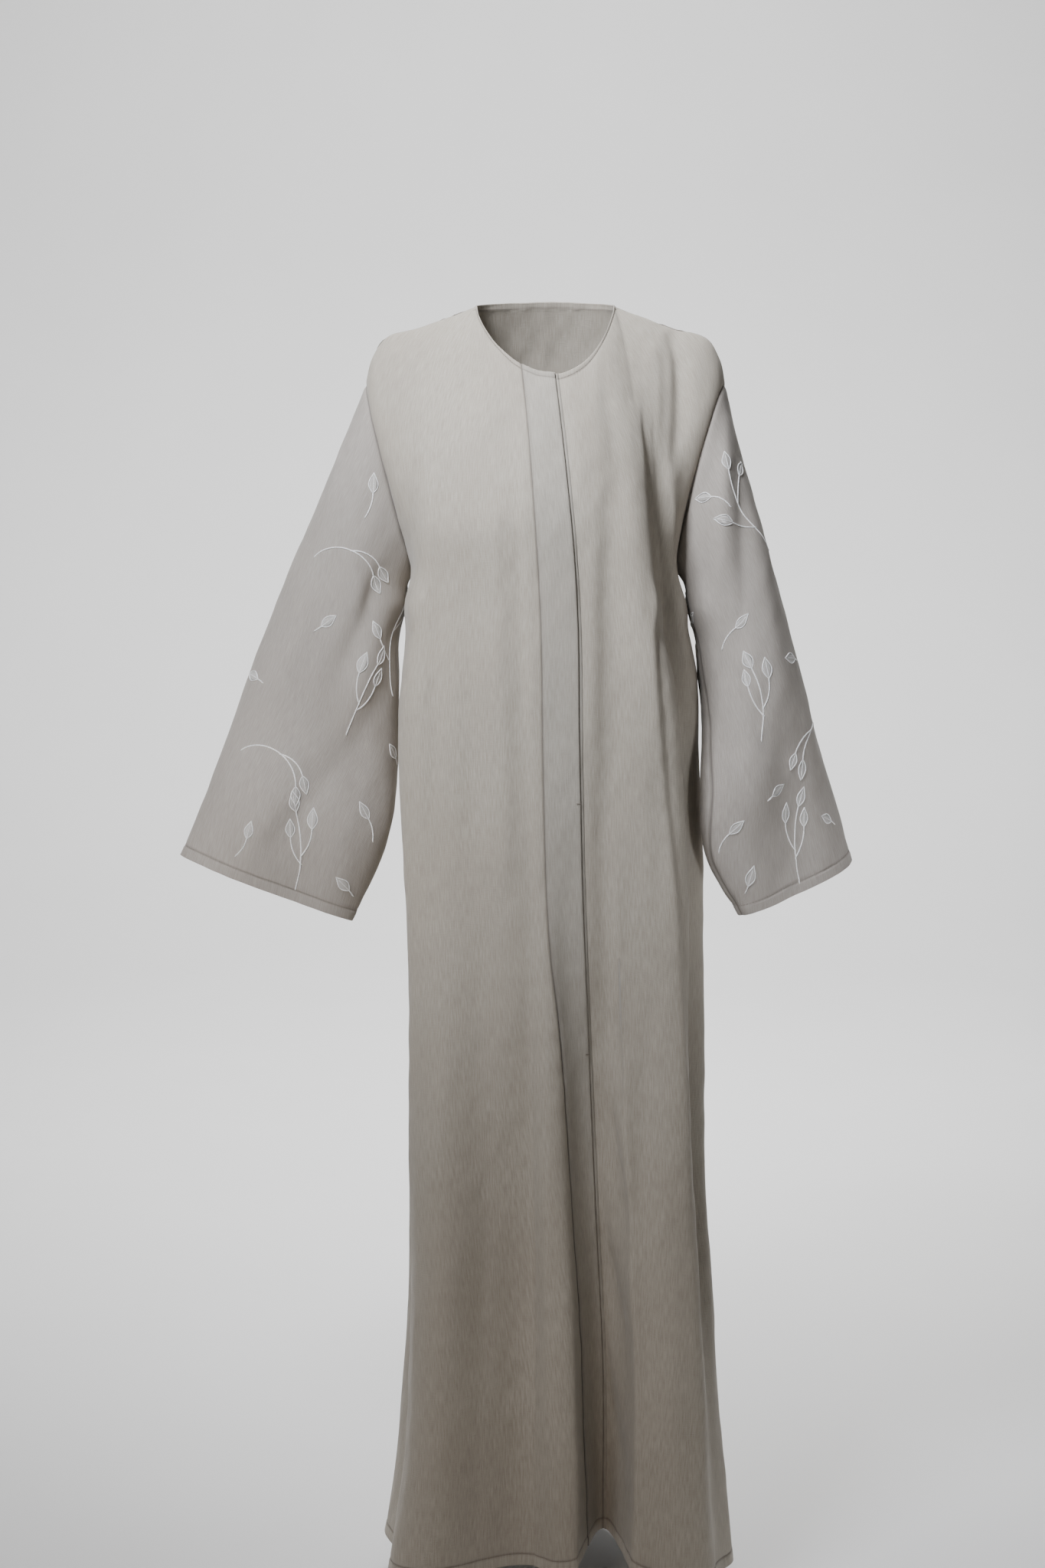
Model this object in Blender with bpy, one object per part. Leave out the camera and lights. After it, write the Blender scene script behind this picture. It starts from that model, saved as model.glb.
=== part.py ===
"""Open-front abaya cloak, as the hollow form its cloth takes when it is worn.

Metres, +Z up. The wearer faces -Y and the wearer's left is at +X. The origin is between the
shoulders at the side neck points, where the cloak rests on its wearer.

Every piece is one wall of cloth. Two surfaces carry them all: the body, made of level sections
with hanging folds and closed over the shoulders, and a sleeve, made of oval sections that fan
from the armhole to the cuff. A column says how far across a panel a point is, from its middle
edge (0) to its side seam (1), and a row says how far up: 0 at the hem, 1 at the underarm and 2
at the neck and shoulder seam.
"""

from typing import NamedTuple

import bpy
import numpy as np

# Cloth and seams
WALL = 0.0016                # thickness of a panel
BAND_WALL = 0.0012           # thickness of the bands at the front edges
SEAM_GAP = 0.0003            # gap between two pieces that meet
SPLIT_GAP = 0.0016           # gap where a panel is split into pieces, one above another
ARMHOLE_GAP = 0.0008         # gap at the armholes, where the walls meet at a sharp angle
SPARE_GAP = 0.0001           # spare that keeps the two curved edges of a gap apart
BAND_WIDTH = 0.040           # placket band, and the overlap of the fronts behind it
UNDERLAP_STEP = 0.0036       # how far the left front drops behind the right one
UNDERLAP_SHOW = 0.006        # width of the underlap band that passes the free edge
UNDERLAP_EASE = 0.024        # width over which the left front comes forward again

# Heights
UNDERARM = -0.300
HEM_FRONT = -1.422
HEM_SIDE_DROP = 0.030        # the hem hangs lower at the sides and back
HEM_SEAM_LIFT = 0.020        # and higher at the centre-front seam
HEM_LIFT_WIDTH = 0.030       # over this distance either side of it
CORNER = 2.25                # 2 is an ellipse; more is squarer
FOLD_HEIGHTS = (-0.1, -0.75, HEM_FRONT)  # where the three angles of a body fold are given
FOLD_FADE = 0.3              # height over which a body fold fades again
SLEEVE_FADE = 0.3            # share of a sleeve over which its folds grow and fade

# Neck and shoulders
NECK_HALF_WIDTH = 0.078
NECK_FRONT = (-0.078, -0.082)    # y and z of the front neck point
NECK_BACK = (0.062, 0.008)       # y and z of the back neck point
NECK_SIDE_Y = 0.012
NECK_CURVE = 1.4             # 1 rises evenly to the shoulders; more stays low for longer
CORNER_REACH = 0.28          # share of a panel over which the corner at the neck is softened
CORNER_FADE = 4              # how fast that corner shows again towards the top edge

# Grid counts
ROWS_LOW = 8                 # rows below the split half way down the skirt
ROWS_BELOW = 17
ROWS_ABOVE = 9
COLUMNS_NECK = 5
COLUMNS_SHOULDER = 8
SLEEVE_RINGS = 12


class Section(NamedTuple):
    """One level section of the body."""

    height: float
    left: float          # lowest x, at the wearer's right side
    right: float         # highest x
    front: float         # depth forward of the section's middle
    back: float
    middle: float        # y of its widest place


class Fold(NamedTuple):
    """One hanging fold of the body. Angles are in degrees: 0 front, 90 wearer's left, 180 back."""

    upper: float         # angle where it starts
    waist: float         # angle half way down
    hem: float
    width: float         # half of its width at the hem, degrees
    depth: float         # at the hem, + out and - in
    start: float         # height where it starts
    full: float          # height where it has its whole depth
    end: float           # height where it has faded again, or NO_END


class SleeveSection(NamedTuple):
    """One oval section of a sleeve, by its two ends and its half thickness."""

    place: float         # 0 at the armhole, 1 at the cuff
    over: tuple          # point on the overarm line
    under: tuple         # point on the underarm seam
    half: float


SECTIONS = (
    Section(-0.300, -0.150, 0.150, 0.150, 0.118, 0.000),
    Section(-0.340, -0.151, 0.152, 0.151, 0.118, -0.002),
    Section(-0.400, -0.162, 0.170, 0.153, 0.118, -0.005),
    Section(-0.520, -0.165, 0.179, 0.152, 0.122, -0.010),
    Section(-0.700, -0.156, 0.183, 0.152, 0.132, -0.015),
    Section(-0.900, -0.154, 0.180, 0.152, 0.146, -0.022),
    Section(-1.100, -0.153, 0.188, 0.150, 0.160, -0.032),
    Section(-1.300, -0.165, 0.202, 0.145, 0.176, -0.045),
    Section(-1.422, -0.183, 0.216, 0.140, 0.186, -0.052),
)

# Height and x of the front closure, from the neck to the hem
CLOSURE = (
    (-0.082, 0.010),
    (-0.180, 0.021),
    (-0.300, 0.032),
    (-0.510, 0.037),
    (-0.640, 0.040),
    (-0.830, 0.048),
    (-1.010, 0.056),
    (-1.220, 0.066),
    (-1.422, 0.067),
)

# Height and y of the centre front and back above the underarm
CHEST = ((-0.300, -0.150), (-0.240, -0.150), (-0.170, -0.132), (-0.120, -0.106), (-0.082, -0.078))
SPINE = ((-0.300, 0.118), (-0.220, 0.122), (-0.140, 0.118), (-0.060, 0.094), (0.008, 0.062))

# Shoulder seam from the side neck point to the top of the sleeve seam: x, y, z
SHOULDER = (
    (0.078, 0.012, 0.000),
    (0.143, 0.008, -0.024),
    (0.180, 0.004, -0.035),
    (0.198, 0.002, -0.058),
    (0.206, 0.000, -0.090),
)

NO_END = -3.0                # far below the hem, for a fold that reaches it

FOLDS = (
    # the wearer's right front
    Fold(-48, -66, -62, 15, 0.016, -0.12, -0.50, NO_END),
    Fold(-60, -80, -84, 14, -0.010, -0.45, -0.80, NO_END),
    Fold(-16, -15, -10, 13, -0.026, -0.72, -1.15, NO_END),
    Fold(2, 0, 3, 7, 0.006, -0.85, -1.35, NO_END),
    Fold(-42, -46, -46, 12, 0.013, -0.60, -1.10, NO_END),
    # the wearer's left front
    Fold(38, 52, 38, 13, 0.018, -0.10, -0.45, NO_END),
    Fold(52, 66, 58, 11, -0.026, -0.14, -0.42, -1.25),
    Fold(70, 80, 78, 13, 0.010, -0.55, -0.95, NO_END),
    Fold(42, 46, 45, 14, 0.020, -0.72, -1.10, NO_END),
    # the sides and the back
    Fold(112, 108, 104, 14, -0.020, -0.45, -1.10, NO_END),
    Fold(128, 130, 128, 12, 0.026, -0.30, -1.20, NO_END),
    Fold(144, 148, 150, 12, -0.034, -0.22, -1.15, NO_END),
    Fold(166, 170, 172, 12, 0.026, -0.20, -1.20, NO_END),
    Fold(186, 190, 193, 11, -0.038, -0.30, -1.20, NO_END),
    Fold(208, 212, 214, 12, 0.028, -0.20, -1.25, NO_END),
    Fold(226, 230, 234, 12, -0.030, -0.25, -1.10, NO_END),
    Fold(246, 250, 252, 12, 0.018, -0.40, -1.20, NO_END),
)

# The deep fold that carries the closure: height, depth, half width and shape (1 is a V, more is boxier)
VALLEY = (
    (-0.50, 0.000, 0.037, 2.6),
    (-0.70, 0.008, 0.037, 2.6),
    (-0.85, 0.026, 0.036, 2.6),
    (-1.05, 0.050, 0.035, 2.3),
    (-1.25, 0.070, 0.034, 2.2),
    (-1.422, 0.082, 0.031, 2.0),
)
VALLEY_EDGE = 0.06           # softness of its two edges

SLEEVE_RIGHT = (
    SleeveSection(0.00, (-0.206, 0.000, -0.090), (-0.150, 0.000, -0.300), 0.048),
    SleeveSection(0.12, (-0.229, 0.000, -0.150), (-0.166, 0.002, -0.328), 0.056),
    SleeveSection(0.35, (-0.281, 0.004, -0.272), (-0.170, 0.022, -0.432), 0.068),
    SleeveSection(0.60, (-0.340, 0.002, -0.417), (-0.172, 0.032, -0.535), 0.060),
    SleeveSection(0.80, (-0.383, 0.000, -0.530), (-0.184, -0.006, -0.620), 0.058),
    SleeveSection(1.00, (-0.423, -0.004, -0.630), (-0.223, -0.014, -0.706), 0.036),
)

SLEEVE_LEFT = (
    SleeveSection(0.00, (0.206, 0.000, -0.090), (0.150, 0.000, -0.300), 0.048),
    SleeveSection(0.12, (0.220, 0.002, -0.150), (0.167, -0.012, -0.326), 0.056),
    SleeveSection(0.35, (0.252, 0.010, -0.278), (0.182, -0.036, -0.432), 0.068),
    SleeveSection(0.60, (0.284, 0.022, -0.425), (0.190, -0.088, -0.545), 0.057),
    SleeveSection(0.80, (0.320, 0.032, -0.530), (0.190, -0.082, -0.625), 0.050),
    SleeveSection(1.00, (0.358, 0.040, -0.640), (0.225, -0.070, -0.690), 0.038),
)


class SleeveFold(NamedTuple):
    """One fold along a sleeve. Its turn is 0 at the overarm, 90 in front and 180 at the underarm."""

    turn_top: float
    turn_cuff: float
    width: float         # degrees
    depth: float
    start: float         # places along the sleeve
    end: float


SLEEVE_FOLDS = (
    SleeveFold(60, 110, 26, -0.009, 0.10, 1.20),
    SleeveFold(100, 70, 24, 0.006, 0.25, 1.25),
    SleeveFold(230, 250, 30, -0.010, 0.15, 1.20),
    SleeveFold(290, 300, 26, 0.006, 0.20, 1.25),
)

CLOTH_COLOUR = (0.46, 0.43, 0.39, 1.0)
CLOTH_ROUGHNESS = 0.85


def smooth(knots, values, at):
    """Return a cubic curve through values, one for each knot, at the places given."""
    knots = np.asarray(knots, float)
    values = np.asarray(values, float)
    if knots[0] > knots[-1]:
        knots, values = knots[::-1], values[::-1]
    slopes = np.gradient(values, knots, axis=0)
    at = np.clip(at, knots[0], knots[-1])
    index = np.clip(np.searchsorted(knots, at, side="right") - 1, 0, len(knots) - 2)
    step = knots[index + 1] - knots[index]
    t = (at - knots[index]) / step
    if values.ndim > 1:
        t, step = t[..., None], step[..., None]
    rise = values[index + 1] - values[index]
    first, last = slopes[index] * step - rise, rise - slopes[index + 1] * step
    return values[index] + t * rise + t * (1 - t) * ((1 - t) * first + t * last)


def ease(t):
    """Return a smooth step from 0 to 1."""
    t = np.clip(t, 0.0, 1.0)
    return t * t * (3.0 - 2.0 * t)


def column_of(rows, name, at):
    """Return one named column of a table of rows, read at the heights or places given."""
    return smooth([row[0] for row in rows], [getattr(row, name) for row in rows], at)


def closure_x(height):
    """Return x of the front closure at a height."""
    return smooth([row[0] for row in CLOSURE], [row[1] for row in CLOSURE], height)


def section_point(height, angle):
    """Return the plain section's x and y at angles in radians, with no folds."""
    left, right = column_of(SECTIONS, "left", height), column_of(SECTIONS, "right", height)
    sine, cosine = np.sin(angle), np.cos(angle)
    across = np.sign(sine) * np.abs(sine) ** (2 / CORNER)
    along = np.sign(cosine) * np.abs(cosine) ** (2 / CORNER)
    depth = np.where(cosine > 0, column_of(SECTIONS, "front", height), column_of(SECTIONS, "back", height))
    x = (left + right) / 2 + (right - left) / 2 * across
    return x, column_of(SECTIONS, "middle", height) - depth * along


def closure_angle(height):
    """Return the angle of the front closure on the section at a height."""
    left, right = column_of(SECTIONS, "left", height), column_of(SECTIONS, "right", height)
    across = (closure_x(height) - (left + right) / 2) / ((right - left) / 2)
    return np.arcsin(np.sign(across) * np.abs(across) ** (CORNER / 2))


def fold_push(height, angle):
    """Return how far the small folds move the surface out at a height and angles in radians."""
    turn = np.degrees(angle) % 360.0
    push = np.zeros_like(turn)
    for fold in FOLDS:
        centre = smooth(FOLD_HEIGHTS, (fold.upper, fold.waist, fold.hem), height)
        away = (turn - centre + 180.0) % 360.0 - 180.0
        grown = ease((fold.start - height) / (fold.start - fold.full))
        faded = ease((height - fold.end) / FOLD_FADE)
        push += fold.depth * grown * faded * np.exp(-((away / fold.width) ** 2))
    return push


def valley_depth(height, off):
    """Return the depth of the closure's fold at heights and distances from the closure."""
    rows = smooth([row[0] for row in VALLEY], [row[1:] for row in VALLEY], height)
    depth, width, shape = rows[..., 0], rows[..., 1], rows[..., 2]
    inside = 1.0 - (np.abs(off) / width) ** shape
    return depth * VALLEY_EDGE * np.log1p(np.exp(inside / VALLEY_EDGE))


def body_ring(height, angle):
    """Return points of the body's outer surface at one height and angles in radians."""
    height = np.broadcast_to(height, np.shape(angle)).astype(float)
    x, y = section_point(height, angle)
    out_x, out_y = np.sin(angle) * np.abs(np.sin(angle)), -np.cos(angle)
    size = np.hypot(out_x, out_y)
    push = fold_push(height, angle)
    x, y = x + push * out_x / size, y + push * out_y / size
    off = x - closure_x(height)
    y = y + np.where(np.cos(angle) > 0, valley_depth(height, off), 0.0)
    hang = ((UNDERARM - height) / (UNDERARM - HEM_FRONT)) ** 2
    lift = HEM_SEAM_LIFT * np.exp(-((off / HEM_LIFT_WIDTH) ** 2)) * (np.cos(angle) > 0)
    sag = HEM_SIDE_DROP * (1 - np.clip(np.cos(angle), 0, 1) ** 2)
    return np.stack([x, y, height + hang * (lift - sag)], axis=-1)


def along(points, share, fixed=0.0, fixed_share=0.0):
    """Return points at shares of a line's length; the first fixed_share covers a fixed length."""
    steps = np.linalg.norm(np.diff(points, axis=0), axis=1)
    length = np.concatenate([[0.0], np.cumsum(steps)])
    rest = (share - fixed_share) / (1 - fixed_share)
    if fixed_share:
        place = np.where(share < fixed_share, share / fixed_share * fixed, fixed + rest * (length[-1] - fixed))
    else:
        place = share * length[-1]
    return np.stack([np.interp(place, length, points[:, i]) for i in range(3)], axis=-1)


FRONT_COLUMNS = 2 + COLUMNS_NECK + COLUMNS_SHOULDER
BAND_SHARE = 2 / FRONT_COLUMNS
NECK_SHARE = (2 + COLUMNS_NECK) / FRONT_COLUMNS


def ring_line(side, front, height, columns):
    """Return a panel's row below the underarm, from its middle edge out to the side seam."""
    samples = np.linspace(0.0, 1.0, 500)
    if front:
        start, end = closure_angle(height), side * np.pi / 2
    else:
        start, end = np.pi, np.pi - side * np.pi / 2
    line = body_ring(height, start + (end - start) * samples)
    return along(line, columns, BAND_WIDTH, BAND_SHARE if front else 0.0)


def neck_line(side, front):
    """Return the neckline from the middle edge to the side neck point."""
    turn = np.linspace(0.0, np.pi / 2, 60)[:, None]
    y, z = NECK_FRONT if front else NECK_BACK
    start = closure_x(np.array(z)) if front else 0.0
    side_x = side * NECK_HALF_WIDTH
    return np.hstack([
        start + (side_x - start) * np.sin(turn),
        NECK_SIDE_Y + (y - NECK_SIDE_Y) * np.cos(turn),
        z * np.cos(turn) ** NECK_CURVE,
    ])


def shoulder_line(side):
    """Return the shoulder seam from the side neck point to the top of the sleeve seam."""
    line = smooth(np.linspace(0, 1, len(SHOULDER)), SHOULDER, np.linspace(0, 1, 80))
    return line * np.array([side, 1, 1])


def top_line(side, front, columns):
    """Return a panel's top edge: neckline, then shoulder seam."""
    split = np.clip(columns / NECK_SHARE, 0, 1)
    neck = along(neck_line(side, front), split, BAND_WIDTH, BAND_SHARE / NECK_SHARE if front else 0.0)
    seam = along(shoulder_line(side), np.clip((columns - NECK_SHARE) / (1 - NECK_SHARE), 0, 1))
    return np.where((columns < NECK_SHARE)[:, None], neck, seam)


def soft_top_line(side, front, columns):
    """Return a panel's top edge with the corner at the side neck point rounded away."""
    reach = np.minimum(CORNER_REACH, np.minimum(columns, 1 - columns))
    steps = np.linspace(-1.0, 1.0, 9)
    return sum(top_line(side, front, columns + step * reach) for step in steps) / len(steps)


def middle_line(front, rise):
    """Return the centre line above the underarm; rise is 0 at the underarm and 1 at the neck."""
    table = CHEST if front else SPINE
    z = UNDERARM + (table[-1][0] - UNDERARM) * rise
    y = smooth([row[0] for row in table], [row[1] for row in table], z)
    x = closure_x(z) if front else np.zeros_like(z)
    return np.stack([x, y, z], axis=-1)


def sleeve_frame(side, place):
    """Return a sleeve's middle line, half of its width and its forward half thickness at places."""
    rows = SLEEVE_LEFT if side > 0 else SLEEVE_RIGHT
    fine = np.linspace(0.0, 1.0, 41)
    over, under = column_of(rows, "over", fine), column_of(rows, "under", fine)
    middle, across = (over + under) / 2, (over - under) / 2
    ahead = np.cross(across, np.gradient(middle, axis=0)) * -side
    ahead *= (column_of(rows, "half", fine) / np.linalg.norm(ahead, axis=1))[:, None]
    return smooth(fine, middle, place), smooth(fine, across, place), smooth(fine, ahead, place)


def sleeve_point(side, place, turn):
    """Return points of a sleeve's outer surface; turn is 0 overarm, 90 front and 180 underarm."""
    middle, across, ahead = sleeve_frame(side, place)
    push = np.zeros((len(place), len(turn)))
    for fold in SLEEVE_FOLDS:
        centre = fold.turn_top + (fold.turn_cuff - fold.turn_top) * place[:, None]
        away = (turn[None, :] - centre + 180.0) % 360.0 - 180.0
        grown = ease((place - fold.start) / SLEEVE_FADE) * ease((fold.end - place) / SLEEVE_FADE)
        push += fold.depth * grown[:, None] * np.exp(-((away / fold.width) ** 2))
    cosine, sine = np.cos(np.radians(turn))[None, :, None], np.sin(np.radians(turn))[None, :, None]
    swell = 1 + push[..., None] / np.linalg.norm(ahead, axis=1)[:, None, None]
    return middle[:, None] + across[:, None] * cosine + ahead[:, None] * sine * swell


def armhole_line(side, front, rise):
    """Return the armhole from the underarm (0) to the top of the sleeve seam (1)."""
    turn = 180.0 - 180.0 * rise if front else 180.0 + 180.0 * rise
    return sleeve_point(side, np.array([0.0]), turn)[0]


def panel(side, front, columns, rows):
    """Return a grid of outer points of half of a body panel, hem row first."""
    grid = np.zeros((len(rows), len(columns), 3))
    low = ring_line(side, front, UNDERARM, columns)
    high, soft = top_line(side, front, columns), soft_top_line(side, front, columns)
    for index, row in enumerate(rows):
        if row <= 1.0:
            grid[index] = ring_line(side, front, HEM_FRONT + (UNDERARM - HEM_FRONT) * row, columns)
            continue
        rise = np.array([0.0, row - 1.0, 1.0])
        middle, arm = middle_line(front, rise), armhole_line(side, front, rise)
        up = ease(rise[1])
        share = columns[:, None]
        ruled = (1 - share) * middle[1] + share * arm[1]
        lofted = (1 - up) * low + up * (soft + (high - soft) * rise[1] ** CORNER_FADE)
        ends = (1 - share) * ((1 - up) * middle[0] + up * middle[2]) + share * ((1 - up) * arm[0] + up * arm[2])
        grid[index] = ruled + lofted - ends
    return grid


def outward(grid):
    """Return unit normals of a grid whose columns and rows turn about the outward direction."""
    normal = np.cross(np.gradient(grid, axis=1), np.gradient(grid, axis=0))
    return unit(normal)


def unit(vectors):
    """Return vectors scaled to length 1."""
    return vectors / np.maximum(np.linalg.norm(vectors, axis=-1), 1e-9)[..., None]


def draw_in(grid, edges, gap=SEAM_GAP):
    """Return a grid whose named edges are drawn in by half of a gap."""
    grid = grid.copy()
    for edge in edges:
        line, inner = {
            "first": (grid[:, 0], grid[:, 1]),
            "last": (grid[:, -1], grid[:, -2]),
            "top": (grid[-1], grid[-2]),
            "bottom": (grid[0], grid[1]),
        }[edge]
        step = inner - line
        line += step / np.linalg.norm(step, axis=1)[:, None] * (gap / 2 + SPARE_GAP)
    return grid


def split_quad(points, quad):
    """Return the two triangles that a quad's shorter diagonal makes."""
    a, b, c, d = quad
    if np.linalg.norm(points[a] - points[c]) < np.linalg.norm(points[b] - points[d]):
        return [a, b, c], [a, c, d]
    return [a, b, d], [b, c, d]


def make_wall(name, outer, inner, collection, material, loop=False):
    """Build one closed wall between two grids of points, joined round their rim."""
    rows, columns = outer.shape[:2]
    points = np.concatenate([outer.reshape(-1, 3), inner.reshape(-1, 3)])
    last = columns if loop else columns - 1
    skin = rows * columns
    faces = []
    for row in range(rows - 1):
        for column in range(last):
            right = (column + 1) % columns
            quad = [row * columns + column, row * columns + right]
            quad += [(row + 1) * columns + right, (row + 1) * columns + column]
            for triangle in split_quad(points, quad):
                faces.append(triangle)
                faces.append([corner + skin for corner in reversed(triangle)])
    rim = [(column, (column + 1) % columns) for column in range(last)]
    top = (rows - 1) * columns
    faces += [[b, a, a + skin, b + skin] for a, b in rim]
    faces += [[a + top, b + top, b + top + skin, a + top + skin] for a, b in rim]
    if not loop:
        side = [(row * columns, (row + 1) * columns) for row in range(rows - 1)]
        end = columns - 1
        faces += [[a, b, b + skin, a + skin] for a, b in side]
        faces += [[b + end, a + end, a + end + skin, b + end + skin] for a, b in side]
    mesh = bpy.data.meshes.new(name)
    mesh.from_pydata(points.tolist(), [], faces)
    mesh.materials.append(material)
    mesh.shade_smooth()
    piece = bpy.data.objects.new(name, mesh)
    collection.objects.link(piece)
    return piece


def make_cloth(name):
    """Return the cloak's cloth as a plain material."""
    cloth = bpy.data.materials.new(name)
    cloth.use_nodes = True
    shader = cloth.node_tree.nodes["Principled BSDF"]
    shader.inputs["Base Color"].default_value = CLOTH_COLOUR
    shader.inputs["Roughness"].default_value = CLOTH_ROUGHNESS
    shader.inputs["Metallic"].default_value = 0.0
    return cloth


def share_normals(first, second):
    """Give two edges that meet at a seam the same normals, in place."""
    both = unit(first + second)
    first[...] = both
    second[...] = both


class Surfaces:
    """Outer points and normals of the front, the back and the sleeves, agreeing at their seams."""

    def __init__(self):
        rows = np.concatenate([np.linspace(0, 1, ROWS_BELOW + 1), np.linspace(1, 2, ROWS_ABOVE + 1)[1:]])
        right = np.linspace(0, 1, FRONT_COLUMNS + 1)
        left = np.insert(right, 1, UNDERLAP_SHOW / BAND_WIDTH * BAND_SHARE)
        neck = np.linspace(0, NECK_SHARE, COLUMNS_NECK + 1)
        back = np.concatenate([neck, np.linspace(NECK_SHARE, 1, COLUMNS_SHOULDER + 1)[1:]])
        self.closure = FRONT_COLUMNS
        self.front = np.hstack([panel(-1, True, right, rows)[:, ::-1], panel(1, True, left, rows)[:, 1:]])
        self.back = np.hstack([panel(1, False, back, rows)[:, ::-1], panel(-1, False, back, rows)[:, 1:]])
        self.from_closure = np.concatenate([-right[::-1], left[1:]]) / BAND_SHARE * BAND_WIDTH
        turns = np.arange(2 * ROWS_ABOVE) * 180.0 / ROWS_ABOVE
        places = np.linspace(0, 1, SLEEVE_RINGS + 1)
        self.sleeves = {
            1: sleeve_point(1, places, turns),
            -1: sleeve_point(-1, places, turns)[:, ::-1],
        }
        self.front_normals = outward(self.front)
        self.back_normals = outward(self.back)
        self.sleeve_normals = {side: self.loop_normals(grid) for side, grid in self.sleeves.items()}
        self.join_sides()

    @staticmethod
    def loop_normals(grid):
        """Return the normals of a grid whose columns run round a loop."""
        padded = np.hstack([grid[:, -1:], grid, grid[:, :1]])
        return outward(padded)[:, 1:-1]

    def join_sides(self):
        """Make the normals agree along the side seams, armholes and shoulder seams."""
        low = slice(0, ROWS_BELOW + 1)
        high = slice(ROWS_BELOW, ROWS_BELOW + ROWS_ABOVE + 1)
        seam = COLUMNS_SHOULDER + 1
        for side in (1, -1):
            front = self.front_normals[:, ::side]
            back = self.back_normals[:, ::-side]
            share_normals(front[low, -1], back[low, -1])
            share_normals(front[-1, -seam:], back[-1, -seam:])
            ring = self.sleeve_normals[side][0]
            ahead = (np.arange(ROWS_ABOVE, -1, -1) * side - (side < 0)) % len(ring)
            behind = (np.arange(ROWS_ABOVE, 2 * ROWS_ABOVE + 1) * side - (side < 0)) % len(ring)
            ends = ((ROWS_BELOW, ahead[0]), (-1, ahead[-1]))
            corners = [unit(unit(front[row, -1] + back[row, -1]) + ring[place]) for row, place in ends]
            for edge, places in ((front[high, -1], ahead), (back[high, -1], behind)):
                both = unit(edge + ring[places])
                edge[...] = both
                ring[places] = both
            for (row, place), corner in zip(ends, corners):
                front[row, -1] = back[row, -1] = ring[place] = corner


def make_panel(name, outer, normals, edges, collection, cloth):
    """Make a panel as three walls, one above another, so that the collision inside it stays open."""
    levels = (("lower", 0, ROWS_LOW), ("middle", ROWS_LOW, ROWS_BELOW), ("upper", ROWS_BELOW, len(outer) - 1))
    for level, first, last in levels:
        rows = slice(first, last + 1)
        seams = edges + (("top",) if level == "upper" else ())
        splits = {"lower": ("top",), "middle": ("top", "bottom"), "upper": ("bottom",)}[level]
        grid = draw_in(draw_in(outer[rows], seams), splits, SPLIT_GAP)
        make_wall(f"{name}_{level}", grid, grid - WALL * normals[rows], collection, cloth)


def make_panels(surfaces, collection, cloth):
    """Make the back and the two fronts."""
    closure = surfaces.closure
    make_panel("back", surfaces.back, surfaces.back_normals, ("first", "last"), collection, cloth)

    right, normals = surfaces.front[:, : closure + 1], surfaces.front_normals[:, : closure + 1]
    make_panel("front_right", right, normals, ("first",), collection, cloth)

    left, normals, _ = left_front(surfaces)
    make_panel("front_left", left, normals, ("last",), collection, cloth)


def left_front(surfaces):
    """Return the left front's points, normals and distances from the free edge of the placket."""
    under = slice(surfaces.closure - 2, None)
    normals, distance = surfaces.front_normals[:, under], surfaces.from_closure[under]
    step = UNDERLAP_STEP * (1 - ease(distance / UNDERLAP_EASE))
    return surfaces.front[:, under] - normals * step[None, :, None], normals, distance


def make_bands(surfaces, collection, cloth):
    """Make the placket band on the right front and the underlap band on the left front."""
    closure = surfaces.closure
    band = slice(closure - 2, closure + 1)
    points, normals = surfaces.front[:, band], surfaces.front_normals[:, band]
    inner, outer = points + SEAM_GAP * normals, points + (SEAM_GAP + BAND_WALL) * normals
    make_wall("placket_band", outer, inner, collection, cloth)

    points, normals, _ = left_front(surfaces)
    points, normals = points[:, :4], normals[:, :4]
    inner, outer = points + SEAM_GAP * normals, points + (SEAM_GAP + BAND_WALL) * normals
    make_wall("underlap_band", outer, inner, collection, cloth)


def make_sleeves(surfaces, collection, cloth):
    """Make the two sleeves."""
    for side, name in ((1, "sleeve_left"), (-1, "sleeve_right")):
        grid, normals = surfaces.sleeves[side], surfaces.sleeve_normals[side]
        grid = draw_in(grid, ("bottom",), ARMHOLE_GAP)
        make_wall(name, grid, grid - WALL * normals, collection, cloth, loop=True)


def main():
    """Clear the scene and build the cloak."""
    for item in list(bpy.data.objects):
        bpy.data.objects.remove(item, do_unlink=True)
    collection = bpy.data.collections.new("abaya_cloak")
    bpy.context.scene.collection.children.link(collection)
    surfaces = Surfaces()
    make_panels(surfaces, collection, make_cloth("panel_cloth"))
    make_bands(surfaces, collection, make_cloth("band_cloth"))
    make_sleeves(surfaces, collection, make_cloth("sleeve_cloth"))


main()
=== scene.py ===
"""Looks of an open-front abaya cloak: cloth shells, seams, stitching, embroidery and a studio.

The cloak faces -Y, with the wearer's left at +X. Two surfaces carry every piece: the body, made of
level sections with hanging folds and closed over the shoulders, and a sleeve, made of ovals that fan
from the armhole to the cuff. Each panel is a fine grid on one of them. A column says how far across
the panel a point is, from its middle edge (0) to its side seam (1), and a row how far up: 0 at the
hem, 1 at the underarm and 2 at the neck and shoulder seam. Lengths are in metres.
"""

from __future__ import annotations

import logging
from dataclasses import dataclass, field, replace
from enum import Enum
from typing import Any, NamedTuple

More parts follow.
